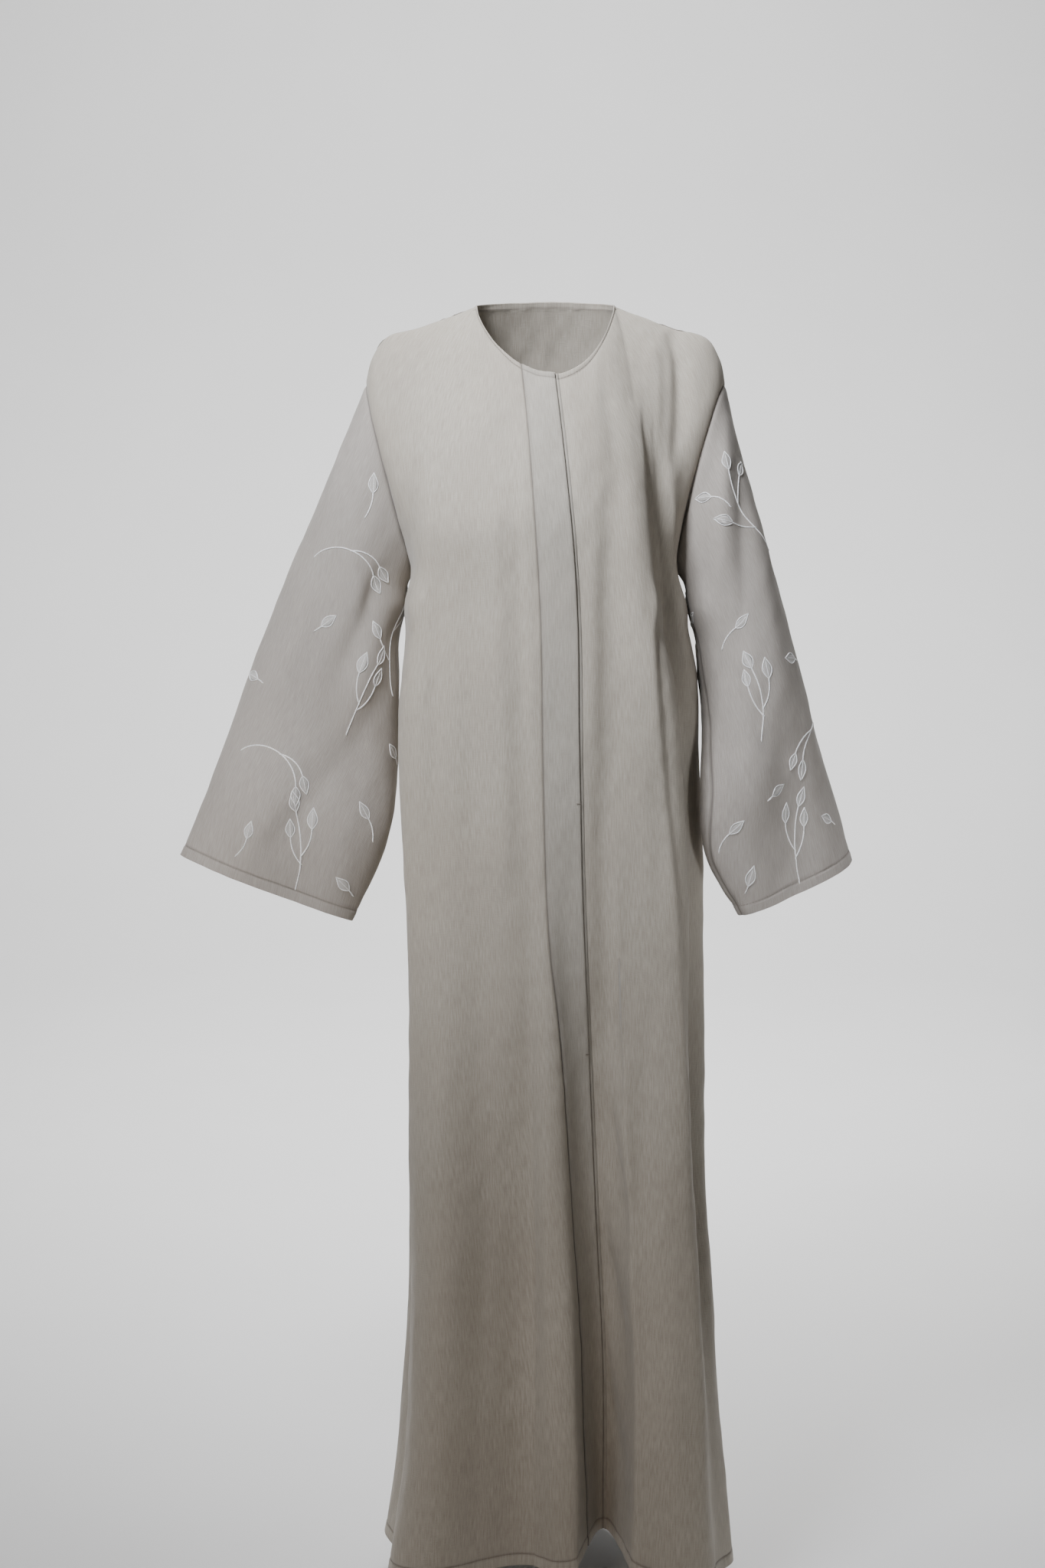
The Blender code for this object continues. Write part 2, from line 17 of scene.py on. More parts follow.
import bpy
import numpy as np
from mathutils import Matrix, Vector


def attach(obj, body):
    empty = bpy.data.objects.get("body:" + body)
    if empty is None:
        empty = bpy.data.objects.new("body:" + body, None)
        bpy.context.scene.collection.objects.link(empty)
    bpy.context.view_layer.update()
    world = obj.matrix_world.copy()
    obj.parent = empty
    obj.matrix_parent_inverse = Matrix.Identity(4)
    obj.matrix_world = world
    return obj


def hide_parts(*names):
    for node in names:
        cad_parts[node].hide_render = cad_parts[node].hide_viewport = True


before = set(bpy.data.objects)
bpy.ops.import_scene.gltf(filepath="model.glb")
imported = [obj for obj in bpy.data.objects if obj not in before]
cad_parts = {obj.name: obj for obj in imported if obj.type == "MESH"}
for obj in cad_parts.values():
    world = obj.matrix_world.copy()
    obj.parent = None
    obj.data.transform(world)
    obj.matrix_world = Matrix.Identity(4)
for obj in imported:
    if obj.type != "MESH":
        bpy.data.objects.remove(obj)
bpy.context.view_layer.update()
LOG = logging.getLogger("abaya_cloak")
Array = np.ndarray

CLOTH_UV = "cloth"
# Point attribute: how much painted shade each point takes along seams, stitched lines and beside the
# placket's free edge
PAINTED_SEAM_SHADE = "painted_seam_shade"
MILLIMETRE = 0.001


class Facing(Enum):
    """Which way a part of the cloth looks, as the sign of its normal's y."""

    FRONT = -1
    BACK = 1


class Part(Enum):
    """The surface that a crease lies on."""

    BODY = "body"
    SLEEVE = "sleeve"


class Section(NamedTuple):
    """One level section of the body."""

    height: float
    left: float
    right: float
    front: float
    back: float
    middle: float


class Fold(NamedTuple):
    """One hanging fold. Angles are in degrees: 0 front, 90 wearer's left, 180 back."""

    upper: float
    waist: float
    hem: float
    width: float
    depth: float
    start: float
    full: float
    end: float = -3.0


class ValleyRow(NamedTuple):
    """The deep fold at the closure at one height. A shape of 1 is a V and more is boxier."""

    height: float
    depth: float
    half_width: float
    shape: float


class SleeveSection(NamedTuple):
    """One oval section of a sleeve, by its two ends and its half thickness."""

    place: float
    over: tuple[float, float, float]
    under: tuple[float, float, float]
    half: float


class SleeveFold(NamedTuple):
    """One fold along a sleeve. Its turn is 0 overarm, 90 in front and 180 at the underarm."""

    turn_top: float
    turn_cuff: float
    width: float
    depth: float
    start: float
    end: float


class Crease(NamedTuple):
    """One soft trough (-) or ridge (+), on a curve through three places given as x and z.

    A lean above 0 makes its flank towards +x the steeper one, and below 0 the other.
    """

    part: Part
    facing: Facing
    start: tuple[float, float]
    bend: tuple[float, float]
    end: tuple[float, float]
    width: float
    depth: float
    lean: float = 0.0


# Small mathematics


def smooth(knots: Any, values: Any, at: Any) -> Array:
    """Read a cubic curve through values, one for each knot.

    Args:
        knots: places of the values, rising or falling.
        values: one number or one point for each knot.
        at: places to read.

    Returns:
        The curve's values at those places.
    """
    knots, values = np.asarray(knots, float), np.asarray(values, float)
    if knots[0] > knots[-1]:
        knots, values = knots[::-1], values[::-1]
    slopes = np.gradient(values, knots, axis=0)
    at = np.clip(at, knots[0], knots[-1])
    index = np.clip(np.searchsorted(knots, at, side="right") - 1, 0, len(knots) - 2)
    step = knots[index + 1] - knots[index]
    t = (at - knots[index]) / step
    if values.ndim > 1:
        t, step = t[..., None], step[..., None]
    rise = values[index + 1] - values[index]
    first, last = slopes[index] * step - rise, rise - slopes[index + 1] * step
    return values[index] + t * rise + t * (1 - t) * ((1 - t) * first + t * last)


def ease(t: Any) -> Array:
    """Return a smooth step from 0 to 1."""
    t = np.clip(t, 0.0, 1.0)
    return t * t * (3.0 - 2.0 * t)


def bell(distance: Any, width: float) -> Array:
    """Return a soft bump that is 1 at no distance and fades over a width."""
    return np.exp(-((np.asarray(distance) / width) ** 2))


def unit(vectors: Array) -> Array:
    """Return vectors scaled to length 1."""
    return vectors / np.maximum(np.linalg.norm(vectors, axis=-1), 1e-9)[..., None]


def ripple(points: Array, wavelength: float, stretch: float, seed: int) -> Array:
    """Return a smooth wandering height of about -1 to 1.

    Args:
        points: places in space.
        wavelength: distance across from one swell to the next.
        stretch: how many times longer the swells are upwards than across.
        seed: chooses the pattern.

    Returns:
        One number for each point.
    """
    chance = np.random.default_rng(seed)
    total = np.zeros(points.shape[:-1])
    waves = 9
    for _ in range(waves):
        way = unit(chance.normal(size=3)) * chance.uniform(0.7, 1.4) * 2 * np.pi / wavelength
        way[2] /= stretch
        total += np.sin(points @ way + chance.uniform(0, 2 * np.pi))
    return total * np.sqrt(2 / waves) / 1.6


def along(points: Array, share: Array, fixed: float = 0.0, fixed_share: float = 0.0) -> Array:
    """Return points at shares of a line's length.

    Args:
        points: the line.
        share: places on it, 0 to 1.
        fixed: a length in metres that the first shares cover, whatever the line's length.
        fixed_share: the share at which that length ends.

    Returns:
        One point for each share.
    """
    steps = np.linalg.norm(np.diff(points, axis=0), axis=1)
    length = np.concatenate([[0.0], np.cumsum(steps)])
    if fixed_share:
        rest = (share - fixed_share) / (1 - fixed_share)
        near = share / fixed_share * fixed
        place = np.where(share < fixed_share, near, fixed + rest * (length[-1] - fixed))
    else:
        place = share * length[-1]
    return np.stack([np.interp(place, length, points[:, i]) for i in range(3)], axis=-1)


# The forms that carry the cloth

SECTIONS = (
    Section(-0.300, -0.150, 0.150, 0.150, 0.118, 0.000),
    Section(-0.340, -0.151, 0.152, 0.151, 0.118, -0.002),
    Section(-0.400, -0.162, 0.170, 0.153, 0.118, -0.005),
    Section(-0.520, -0.165, 0.179, 0.152, 0.122, -0.010),
    Section(-0.700, -0.156, 0.183, 0.152, 0.132, -0.015),
    Section(-0.900, -0.154, 0.180, 0.152, 0.146, -0.022),
    Section(-1.100, -0.153, 0.188, 0.150, 0.160, -0.032),
    Section(-1.300, -0.165, 0.202, 0.145, 0.176, -0.045),
    Section(-1.422, -0.183, 0.216, 0.140, 0.186, -0.052),
)

# Height and x of the front closure, from the neck to the hem
CLOSURE = (
    (-0.082, 0.010),
    (-0.180, 0.021),
    (-0.300, 0.032),
    (-0.510, 0.037),
    (-0.640, 0.040),
    (-0.830, 0.048),
    (-1.010, 0.056),
    (-1.220, 0.066),
    (-1.422, 0.067),
)

# Height and y of the centre front and back above the underarm
CHEST = ((-0.300, -0.150), (-0.240, -0.150), (-0.170, -0.132), (-0.120, -0.106), (-0.082, -0.078))
SPINE = ((-0.300, 0.118), (-0.220, 0.122), (-0.140, 0.118), (-0.060, 0.094), (0.008, 0.062))

# Shoulder seam from the side neck point to the top of the sleeve seam: x, y, z
SHOULDER = (
    (0.078, 0.012, 0.000),
    (0.143, 0.008, -0.024),
    (0.180, 0.004, -0.035),
    (0.198, 0.002, -0.058),
    (0.206, 0.000, -0.090),
)

FOLDS = (
    # the wearer's right front
    Fold(-48, -66, -62, 15, 0.016, -0.12, -0.50),
    Fold(-60, -80, -84, 14, -0.010, -0.45, -0.80),
    Fold(-16, -15, -10, 13, -0.026, -0.72, -1.15),
    Fold(2, 0, 3, 7, 0.006, -0.85, -1.35),
    Fold(-42, -46, -46, 12, 0.013, -0.60, -1.10),
    # the wearer's left front
    Fold(38, 52, 38, 13, 0.018, -0.10, -0.45),
    Fold(52, 66, 58, 11, -0.026, -0.14, -0.42, -1.25),
    Fold(70, 80, 78, 13, 0.010, -0.55, -0.95),
    Fold(42, 46, 45, 14, 0.020, -0.72, -1.10),
    # the sides and the back
    Fold(112, 108, 104, 14, -0.020, -0.45, -1.10),
    Fold(128, 130, 128, 12, 0.026, -0.30, -1.20),
    Fold(144, 148, 150, 12, -0.034, -0.22, -1.15),
    Fold(166, 170, 172, 12, 0.026, -0.20, -1.20),
    Fold(186, 190, 193, 11, -0.038, -0.30, -1.20),
    Fold(208, 212, 214, 12, 0.028, -0.20, -1.25),
    Fold(226, 230, 234, 12, -0.030, -0.25, -1.10),
    Fold(246, 250, 252, 12, 0.018, -0.40, -1.20),
)

# The deep fold that carries the closure
VALLEY = (
    ValleyRow(-0.50, 0.000, 0.037, 2.6),
    ValleyRow(-0.70, 0.008, 0.037, 2.6),
    ValleyRow(-0.85, 0.026, 0.036, 2.6),
    ValleyRow(-1.05, 0.050, 0.035, 2.3),
    ValleyRow(-1.25, 0.070, 0.034, 2.2),
    ValleyRow(-1.422, 0.082, 0.031, 2.0),
)

SLEEVE_RIGHT = (
    SleeveSection(0.00, (-0.206, 0.000, -0.090), (-0.150, 0.000, -0.300), 0.048),
    SleeveSection(0.12, (-0.229, 0.000, -0.150), (-0.166, 0.002, -0.328), 0.056),
    SleeveSection(0.35, (-0.281, 0.004, -0.272), (-0.170, 0.022, -0.432), 0.068),
    SleeveSection(0.60, (-0.340, 0.002, -0.417), (-0.172, 0.032, -0.535), 0.060),
    SleeveSection(0.80, (-0.383, 0.000, -0.530), (-0.184, -0.006, -0.620), 0.058),
    SleeveSection(1.00, (-0.423, -0.004, -0.630), (-0.223, -0.014, -0.706), 0.036),
)

SLEEVE_LEFT = (
    SleeveSection(0.00, (0.206, 0.000, -0.090), (0.150, 0.000, -0.300), 0.048),
    SleeveSection(0.12, (0.220, 0.002, -0.150), (0.167, -0.012, -0.326), 0.056),
    SleeveSection(0.35, (0.252, 0.010, -0.278), (0.182, -0.036, -0.432), 0.068),
    SleeveSection(0.60, (0.284, 0.022, -0.425), (0.190, -0.088, -0.545), 0.057),
    SleeveSection(0.80, (0.320, 0.032, -0.530), (0.190, -0.082, -0.625), 0.050),
    SleeveSection(1.00, (0.358, 0.040, -0.640), (0.225, -0.070, -0.690), 0.038),
)

SLEEVE_FOLDS = (
    SleeveFold(60, 110, 26, -0.009, 0.10, 1.20),
    SleeveFold(100, 70, 24, 0.006, 0.25, 1.25),
    SleeveFold(230, 250, 30, -0.010, 0.15, 1.20),
    SleeveFold(290, 300, 26, 0.006, 0.20, 1.25),
)


@dataclass
class SleeveForm:
    """One sleeve's outer surface, from its sections and folds."""

    side: int
    sections: tuple[SleeveSection, ...]
    folds: tuple[SleeveFold, ...] = SLEEVE_FOLDS

    def column(self, name: str, place: Array) -> Array:
        """Return one named column of the sections at places."""
        values = [getattr(row, name) for row in self.sections]
        return smooth([row.place for row in self.sections], values, place)

    def point(self, place: Array, turn: Array) -> Array:
        """Return points of the surface.

        Args:
            place: 0 at the armhole to 1 at the cuff, one for each row.
            turn: degrees round the oval, one for each column, or one row of them for each place.

        Returns:
            A grid of points, one row for each place.
        """
        fine = np.linspace(0.0, 1.0, 41)
        over, under = self.column("over", fine), self.column("under", fine)
        middle, across = (over + under) / 2, (over - under) / 2
        ahead = np.cross(across, np.gradient(middle, axis=0)) * -self.side
        ahead *= (self.column("half", fine) / np.linalg.norm(ahead, axis=1))[:, None]
        middle, across, ahead = (smooth(fine, part, place) for part in (middle, across, ahead))
        turn = np.broadcast_to(turn, (len(place), np.shape(turn)[-1]))
        push = np.zeros(turn.shape)
        for fold in self.folds:
            centre = fold.turn_top + (fold.turn_cuff - fold.turn_top) * place[:, None]
            away = (turn - centre + 180.0) % 360.0 - 180.0
            grown = ease((place - fold.start) / 0.3) * ease((fold.end - place) / 0.3)
            push += fold.depth * grown[:, None] * bell(away, fold.width)
        angle = np.radians(turn)[..., None]
        swell = 1 + push[..., None] / np.linalg.norm(ahead, axis=1)[:, None, None]
        return middle[:, None] + across[:, None] * np.cos(angle) + ahead[:, None] * np.sin(angle) * swell


@dataclass
class BodyForm:
    """The body's outer surface, with its hanging folds, from the hem to the neck."""

    sleeves: dict[int, SleeveForm]
    underarm: float = -0.300
    hem: float = -1.422
    hem_side_drop: float = 0.030
    hem_seam_lift: float = 0.020
    hem_lift_width: float = 0.030
    corner: float = 2.25
    valley_edge: float = 0.06
    fold_fade: float = 0.3
    neck_half_width: float = 0.078
    neck_front: tuple[float, float] = (-0.078, -0.082)
    neck_back: tuple[float, float] = (0.062, 0.008)
    neck_side_y: float = 0.012
    corner_reach: float = 0.28
    corner_fade: int = 4
    band_width: float = 0.040
    band_share: float = 2 / 15
    neck_share: float = 7 / 15

    def column(self, name: str, height: Array) -> Array:
        """Return one named column of the sections at heights."""
        return smooth([row.height for row in SECTIONS], [getattr(row, name) for row in SECTIONS], height)

    def closure_x(self, height: Any) -> Array:
        """Return x of the front closure at heights."""
        return smooth([row[0] for row in CLOSURE], [row[1] for row in CLOSURE], height)

    def closure_angle(self, height: float) -> Array:
        """Return the angle of the front closure on the section at a height.

        Args:
            height: height of the section.

        Returns:
            The angle in radians.
        """
        left, right = self.column("left", height), self.column("right", height)
        across = (self.closure_x(height) - (left + right) / 2) / ((right - left) / 2)
        return np.arcsin(np.sign(across) * np.abs(across) ** (self.corner / 2))

    def fold_push(self, height: float, angle: Array) -> Array:
        """Return how far the small folds move the surface out at a height.

        Args:
            height: height of the section.
            angle: angles round it in radians.

        Returns:
            One distance for each angle, outwards.
        """
        turn = np.degrees(angle) % 360.0
        push = np.zeros_like(turn)
        for fold in FOLDS:
            centre = smooth((-0.1, -0.75, self.hem), (fold.upper, fold.waist, fold.hem), height)
            away = (turn - centre + 180.0) % 360.0 - 180.0
            grown = ease((fold.start - height) / (fold.start - fold.full))
            faded = ease((height - fold.end) / self.fold_fade)
            push += fold.depth * grown * faded * bell(away, fold.width)
        return push

    def valley_depth(self, height: float, off: Array) -> Array:
        """Return the depth of the closure's fold at a height and distances from the closure.

        Args:
            height: one height.
            off: distances in x.

        Returns:
            One depth for each distance.
        """
        rows = np.array(VALLEY)
        depth, width, shape = smooth(rows[:, 0], rows[:, 1:], height)
        inside = 1.0 - (np.abs(off) / width) ** shape
        return depth * self.valley_edge * np.log1p(np.exp(inside / self.valley_edge))

    def ring(self, height: float, angle: Array) -> Array:
        """Return points of the surface at one height and angles in radians.

        Args:
            height: height of the section.
            angle: angles round it.

        Returns:
            One point for each angle.
        """
        left, right = self.column("left", height), self.column("right", height)
        sine, cosine = np.sin(angle), np.cos(angle)
        side = np.sign(sine) * np.abs(sine) ** (2 / self.corner)
        depth = np.where(cosine > 0, self.column("front", height), self.column("back", height))
        x = (left + right) / 2 + (right - left) / 2 * side
        y = self.column("middle", height) - depth * np.sign(cosine) * np.abs(cosine) ** (2 / self.corner)
        out_x, out_y = sine * np.abs(sine), -cosine
        push = self.fold_push(height, angle) / np.hypot(out_x, out_y)
        x, y = x + push * out_x, y + push * out_y
        off = x - self.closure_x(height)
        y = y + np.where(cosine > 0, self.valley_depth(height, off), 0.0)
        hang = ((self.underarm - height) / (self.underarm - self.hem)) ** 2
        lift = self.hem_seam_lift * bell(off, self.hem_lift_width) * (cosine > 0)
        sag = self.hem_side_drop * (1 - np.clip(cosine, 0, 1) ** 2)
        return np.stack([x, y, height + hang * (lift - sag)], axis=-1)

    def ring_line(self, side: int, facing: Facing, height: float, columns: Array) -> Array:
        """Return a panel's row below the underarm, from its middle edge out to the side seam.

        Args:
            side: 1 for the wearer's left and -1 for the right.
            facing: front or back.
            height: height of the section.
            columns: shares across the panel.

        Returns:
            One point for each column.
        """
        samples = np.linspace(0.0, 1.0, 900)
        start, end, share = np.pi, np.pi - side * np.pi / 2, 0.0
        if facing is Facing.FRONT:
            start, end, share = self.closure_angle(height), side * np.pi / 2, self.band_share
        return along(self.ring(height, start + (end - start) * samples), columns, self.band_width, share)

    def top_line(self, side: int, facing: Facing, columns: Array) -> Array:
        """Return a panel's top edge: neckline, then shoulder seam.

        Args:
            side: 1 for the wearer's left and -1 for the right.
            facing: front or back.
            columns: shares across the panel.

        Returns:
            One point for each column.
        """
        front = facing is Facing.FRONT
        turn = np.linspace(0.0, np.pi / 2, 60)[:, None]
        y, z = self.neck_front if front else self.neck_back
        start = self.closure_x(np.array(z)) if front else 0.0
        neck = np.hstack([
            start + (side * self.neck_half_width - start) * np.sin(turn),
            self.neck_side_y + (y - self.neck_side_y) * np.cos(turn),
            z * np.cos(turn) ** 1.4,
        ])
        knots = np.linspace(0, 1, len(SHOULDER))
        seam = smooth(knots, SHOULDER, np.linspace(0, 1, 80)) * np.array([side, 1, 1])
        split = np.clip(columns / self.neck_share, 0, 1)
        neck = along(neck, split, self.band_width, self.band_share / self.neck_share if front else 0.0)
        seam = along(seam, np.clip((columns - self.neck_share) / (1 - self.neck_share), 0, 1))
        return np.where((columns < self.neck_share)[:, None], neck, seam)

    def soft_top_line(self, side: int, facing: Facing, columns: Array) -> Array:
        """Return a panel's top edge with the corner at the side neck point rounded away.

        Args:
            side: 1 for the wearer's left and -1 for the right.
            facing: front or back.
            columns: shares across the panel.

        Returns:
            One point for each column.
        """
        reach = np.minimum(self.corner_reach, np.minimum(columns, 1 - columns))
        steps = np.linspace(-1.0, 1.0, 9)
        return sum(self.top_line(side, facing, columns + step * reach) for step in steps) / len(steps)

    def middle_line(self, facing: Facing, rise: Array) -> Array:
        """Return the centre line above the underarm; rise is 0 there and 1 at the neck.

        Args:
            facing: front or back.
            rise: shares of the way up.

        Returns:
            One point for each share.
        """
        table = CHEST if facing is Facing.FRONT else SPINE
        z = self.underarm + (table[-1][0] - self.underarm) * rise
        y = smooth([row[0] for row in table], [row[1] for row in table], z)
        x = self.closure_x(z) if facing is Facing.FRONT else np.zeros_like(z)
        return np.stack([x, y, z], axis=-1)

    def armhole_line(self, side: int, facing: Facing, rise: Array) -> Array:
        """Return the armhole from the underarm (0) to the top of the sleeve seam (1)."""
        turn = 180.0 + facing.value * 180.0 * rise
        return self.sleeves[side].point(np.array([0.0]), turn)[0]

    def panel(self, side: int, facing: Facing, columns: Array, rows: Array) -> Array:
        """Return a grid of points of half of a body panel.

        Args:
            side: +1 for the wearer's left, -1 for the right.
            facing: front or back.
            columns: shares from the middle edge to the side seam.
            rows: 0 at the hem, 1 at the underarm, 2 at the top.

        Returns:
            The grid, hem row first.
        """
        grid = np.zeros((len(rows), len(columns), 3))
        low = self.ring_line(side, facing, self.underarm, columns)
        high, soft = self.top_line(side, facing, columns), self.soft_top_line(side, facing, columns)
        share = columns[:, None]
        for index, row in enumerate(rows):
            if row <= 1.0:
                height = self.hem + (self.underarm - self.hem) * row
                grid[index] = self.ring_line(side, facing, height, columns)
                continue
            rise = np.array([0.0, row - 1.0, 1.0])
            middle, arm = self.middle_line(facing, rise), self.armhole_line(side, facing, rise)
            up = ease(rise[1])
            ruled = (1 - share) * middle[1] + share * arm[1]
            lofted = (1 - up) * low + up * (soft + (high - soft) * rise[1] ** self.corner_fade)
            ends = (1 - share) * ((1 - up) * middle[0] + up * middle[2])
            grid[index] = ruled + lofted - ends - share * ((1 - up) * arm[0] + up * arm[2])
        return grid


# Creases, seams and the fine cloth surfaces

BODY, SLEEVE = Part.BODY, Part.SLEEVE
FRONT, BACK = Facing.FRONT, Facing.BACK


def creases_on(part: Part, facing: Facing, *rows: tuple[Any, ...]) -> tuple[Crease, ...]:
    """Return creases that lie on one side of one surface, from the rest of their values."""
    return tuple(Crease(part, facing, *row) for row in rows)


CREASES = (
    *creases_on(
        BODY,
        FRONT,
        # crests and hollows of the wearer's right front
        ((-0.116, -0.150), (-0.134, -0.370), (-0.142, -0.760), 0.015, 0.0056, 0.35),
        ((-0.080, -0.260), (-0.078, -0.540), (-0.074, -0.900), 0.030, -0.0080, -0.30),
        ((-0.036, -0.120), (-0.026, -0.420), (-0.010, -0.860), 0.013, -0.0056, 0.60),
        ((-0.062, -0.200), (-0.050, -0.500), (-0.038, -0.840), 0.018, 0.0036, 0.30),
        ((-0.021, -0.680), (-0.018, -1.060), (-0.017, -1.500), 0.014, -0.0110, 0.75),
        ((-0.002, -0.640), (0.004, -1.060), (0.012, -1.500), 0.014, 0.0080, -0.40),
        ((-0.128, -0.560), (-0.120, -1.000), (-0.126, -1.480), 0.030, 0.0090, 0.25),
        ((-0.068, -0.620), (-0.064, -1.100), (-0.068, -1.500), 0.034, -0.0130, -0.20),
        ((-0.150, -0.960), (-0.158, -1.200), (-0.172, -1.470), 0.010, -0.0040),
        # the wearer's left front
        ((0.099, -0.110), (0.111, -0.350), (0.146, -0.740), 0.016, 0.0100, 0.80),
        ((0.132, -0.560), (0.146, -0.780), (0.158, -1.050), 0.018, 0.0085, 0.72),
        ((0.136, -0.150), (0.148, -0.280), (0.162, -0.420), 0.010, 0.0048, -0.30),
        ((0.119, -0.130), (0.129, -0.280), (0.146, -0.480), 0.006, -0.0030, -0.40),
        ((0.139, -0.030), (0.151, -0.085), (0.145, -0.190), 0.009, -0.0078, -0.30),
        ((0.120, -0.040), (0.124, -0.100), (0.114, -0.210), 0.012, 0.0030, 0.40),
        ((0.066, -0.200), (0.068, -0.520), (0.074, -0.980), 0.018, -0.0066, -0.30),
        ((0.058, -0.160), (0.056, -0.320), (0.058, -0.520), 0.012, 0.0020),
        ((0.096, -0.420), (0.108, -0.640), (0.124, -0.860), 0.020, 0.0034, 0.30),
        # short pulls that fan down and out from the closure
        ((0.046, -0.470), (0.058, -0.560), (0.066, -0.680), 0.006, -0.0018, 0.30),
        ((0.050, -0.600), (0.066, -0.690), (0.078, -0.800), 0.008, -0.0030, 0.40),
        ((0.052, -0.690), (0.072, -0.800), (0.086, -0.930), 0.008, -0.0034, 0.40),
        ((0.060, -0.800), (0.078, -0.890), (0.090, -1.000), 0.007, 0.0028, -0.30),
        ((0.062, -0.870), (0.080, -0.950), (0.094, -1.070), 0.007, -0.0030, 0.30),
        ((0.064, -0.960), (0.078, -1.040), (0.094, -1.140), 0.006, 0.0024, -0.30),
        ((0.066, -1.040), (0.080, -1.110), (0.096, -1.200), 0.006, -0.0026, 0.30),
        ((0.068, -1.130), (0.082, -1.200), (0.098, -1.300), 0.007, 0.0024),
        ((0.070, -1.220), (0.084, -1.290), (0.098, -1.400), 0.006, -0.0022),
        # the lit plane beside them and the side edge
        ((0.120, -0.800), (0.128, -1.120), (0.138, -1.470), 0.020, 0.0030, -0.20),
        ((0.152, -1.000), (0.160, -1.220), (0.168, -1.470), 0.012, -0.0034),
        ((0.178, -0.980), (0.188, -1.180), (0.200, -1.470), 0.012, 0.0036, 0.40),
    ),
    *creases_on(
        BODY,
        BACK,
        # the back
        ((-0.090, -0.060), (-0.070, -0.160), (-0.078, -0.330), 0.020, -0.0030),
        ((0.096, -0.070), (0.078, -0.180), (0.088, -0.360), 0.018, -0.0034),
        ((-0.012, -0.160), (-0.006, -0.360), (-0.018, -0.620), 0.022, 0.0024),
        ((0.052, -0.420), (0.060, -0.700), (0.070, -1.040), 0.012, 0.0030),
        ((-0.060, -0.520), (-0.052, -0.820), (-0.064, -1.180), 0.011, -0.0034),
        ((-0.108, -0.380), (-0.118, -0.660), (-0.124, -1.000), 0.012, 0.0028),
        ((0.118, -0.500), (0.130, -0.800), (0.138, -1.150), 0.010, -0.0028),
        ((0.006, -0.900), (0.014, -1.150), (0.012, -1.440), 0.010, 0.0036),
        ((-0.150, -0.960), (-0.152, -1.180), (-0.158, -1.440), 0.009, 0.0026),
    ),
    *creases_on(
        SLEEVE,
        FRONT,
        # the wearer's right sleeve
        ((-0.214, -0.140), (-0.232, -0.230), (-0.246, -0.330), 0.010, -0.0026),
        ((-0.186, -0.290), (-0.208, -0.360), (-0.240, -0.430), 0.011, -0.0050),
        ((-0.184, -0.350), (-0.212, -0.440), (-0.262, -0.520), 0.015, 0.0050),
        ((-0.262, -0.300), (-0.302, -0.430), (-0.350, -0.560), 0.018, 0.0044),
        ((-0.246, -0.520), (-0.282, -0.580), (-0.330, -0.640), 0.014, -0.0040),
    ),
    *creases_on(
        SLEEVE,
        BACK,
        ((-0.190, -0.250), (-0.216, -0.350), (-0.262, -0.440), 0.013, -0.0036),
        ((-0.250, -0.300), (-0.290, -0.440), (-0.330, -0.600), 0.014, 0.0028),
        ((-0.200, -0.420), (-0.222, -0.520), (-0.262, -0.600), 0.010, -0.0024),
    ),
    *creases_on(
        SLEEVE,
        FRONT,
        ((-0.172, -0.380), (-0.171, -0.450), (-0.174, -0.540), 0.014, 0.0040),
        # the wearer's left sleeve
        ((0.181, -0.470), (0.182, -0.540), (0.194, -0.640), 0.013, 0.0045),
        ((0.203, -0.120), (0.200, -0.220), (0.192, -0.350), 0.010, 0.0052),
        ((0.218, -0.150), (0.224, -0.290), (0.218, -0.430), 0.012, -0.0052),
        ((0.236, -0.260), (0.256, -0.380), (0.280, -0.500), 0.014, 0.0044),
        ((0.206, -0.400), (0.240, -0.470), (0.282, -0.520), 0.014, -0.0052),
        ((0.208, -0.500), (0.236, -0.560), (0.292, -0.640), 0.014, 0.0046),
    ),
    *creases_on(
        SLEEVE,
        BACK,
        ((0.196, -0.180), (0.214, -0.290), (0.240, -0.400), 0.011, -0.0038),
        ((0.226, -0.300), (0.258, -0.440), (0.300, -0.580), 0.012, 0.0030),
        ((0.204, -0.460), (0.230, -0.540), (0.270, -0.610), 0.010, -0.0022),
    ),
)


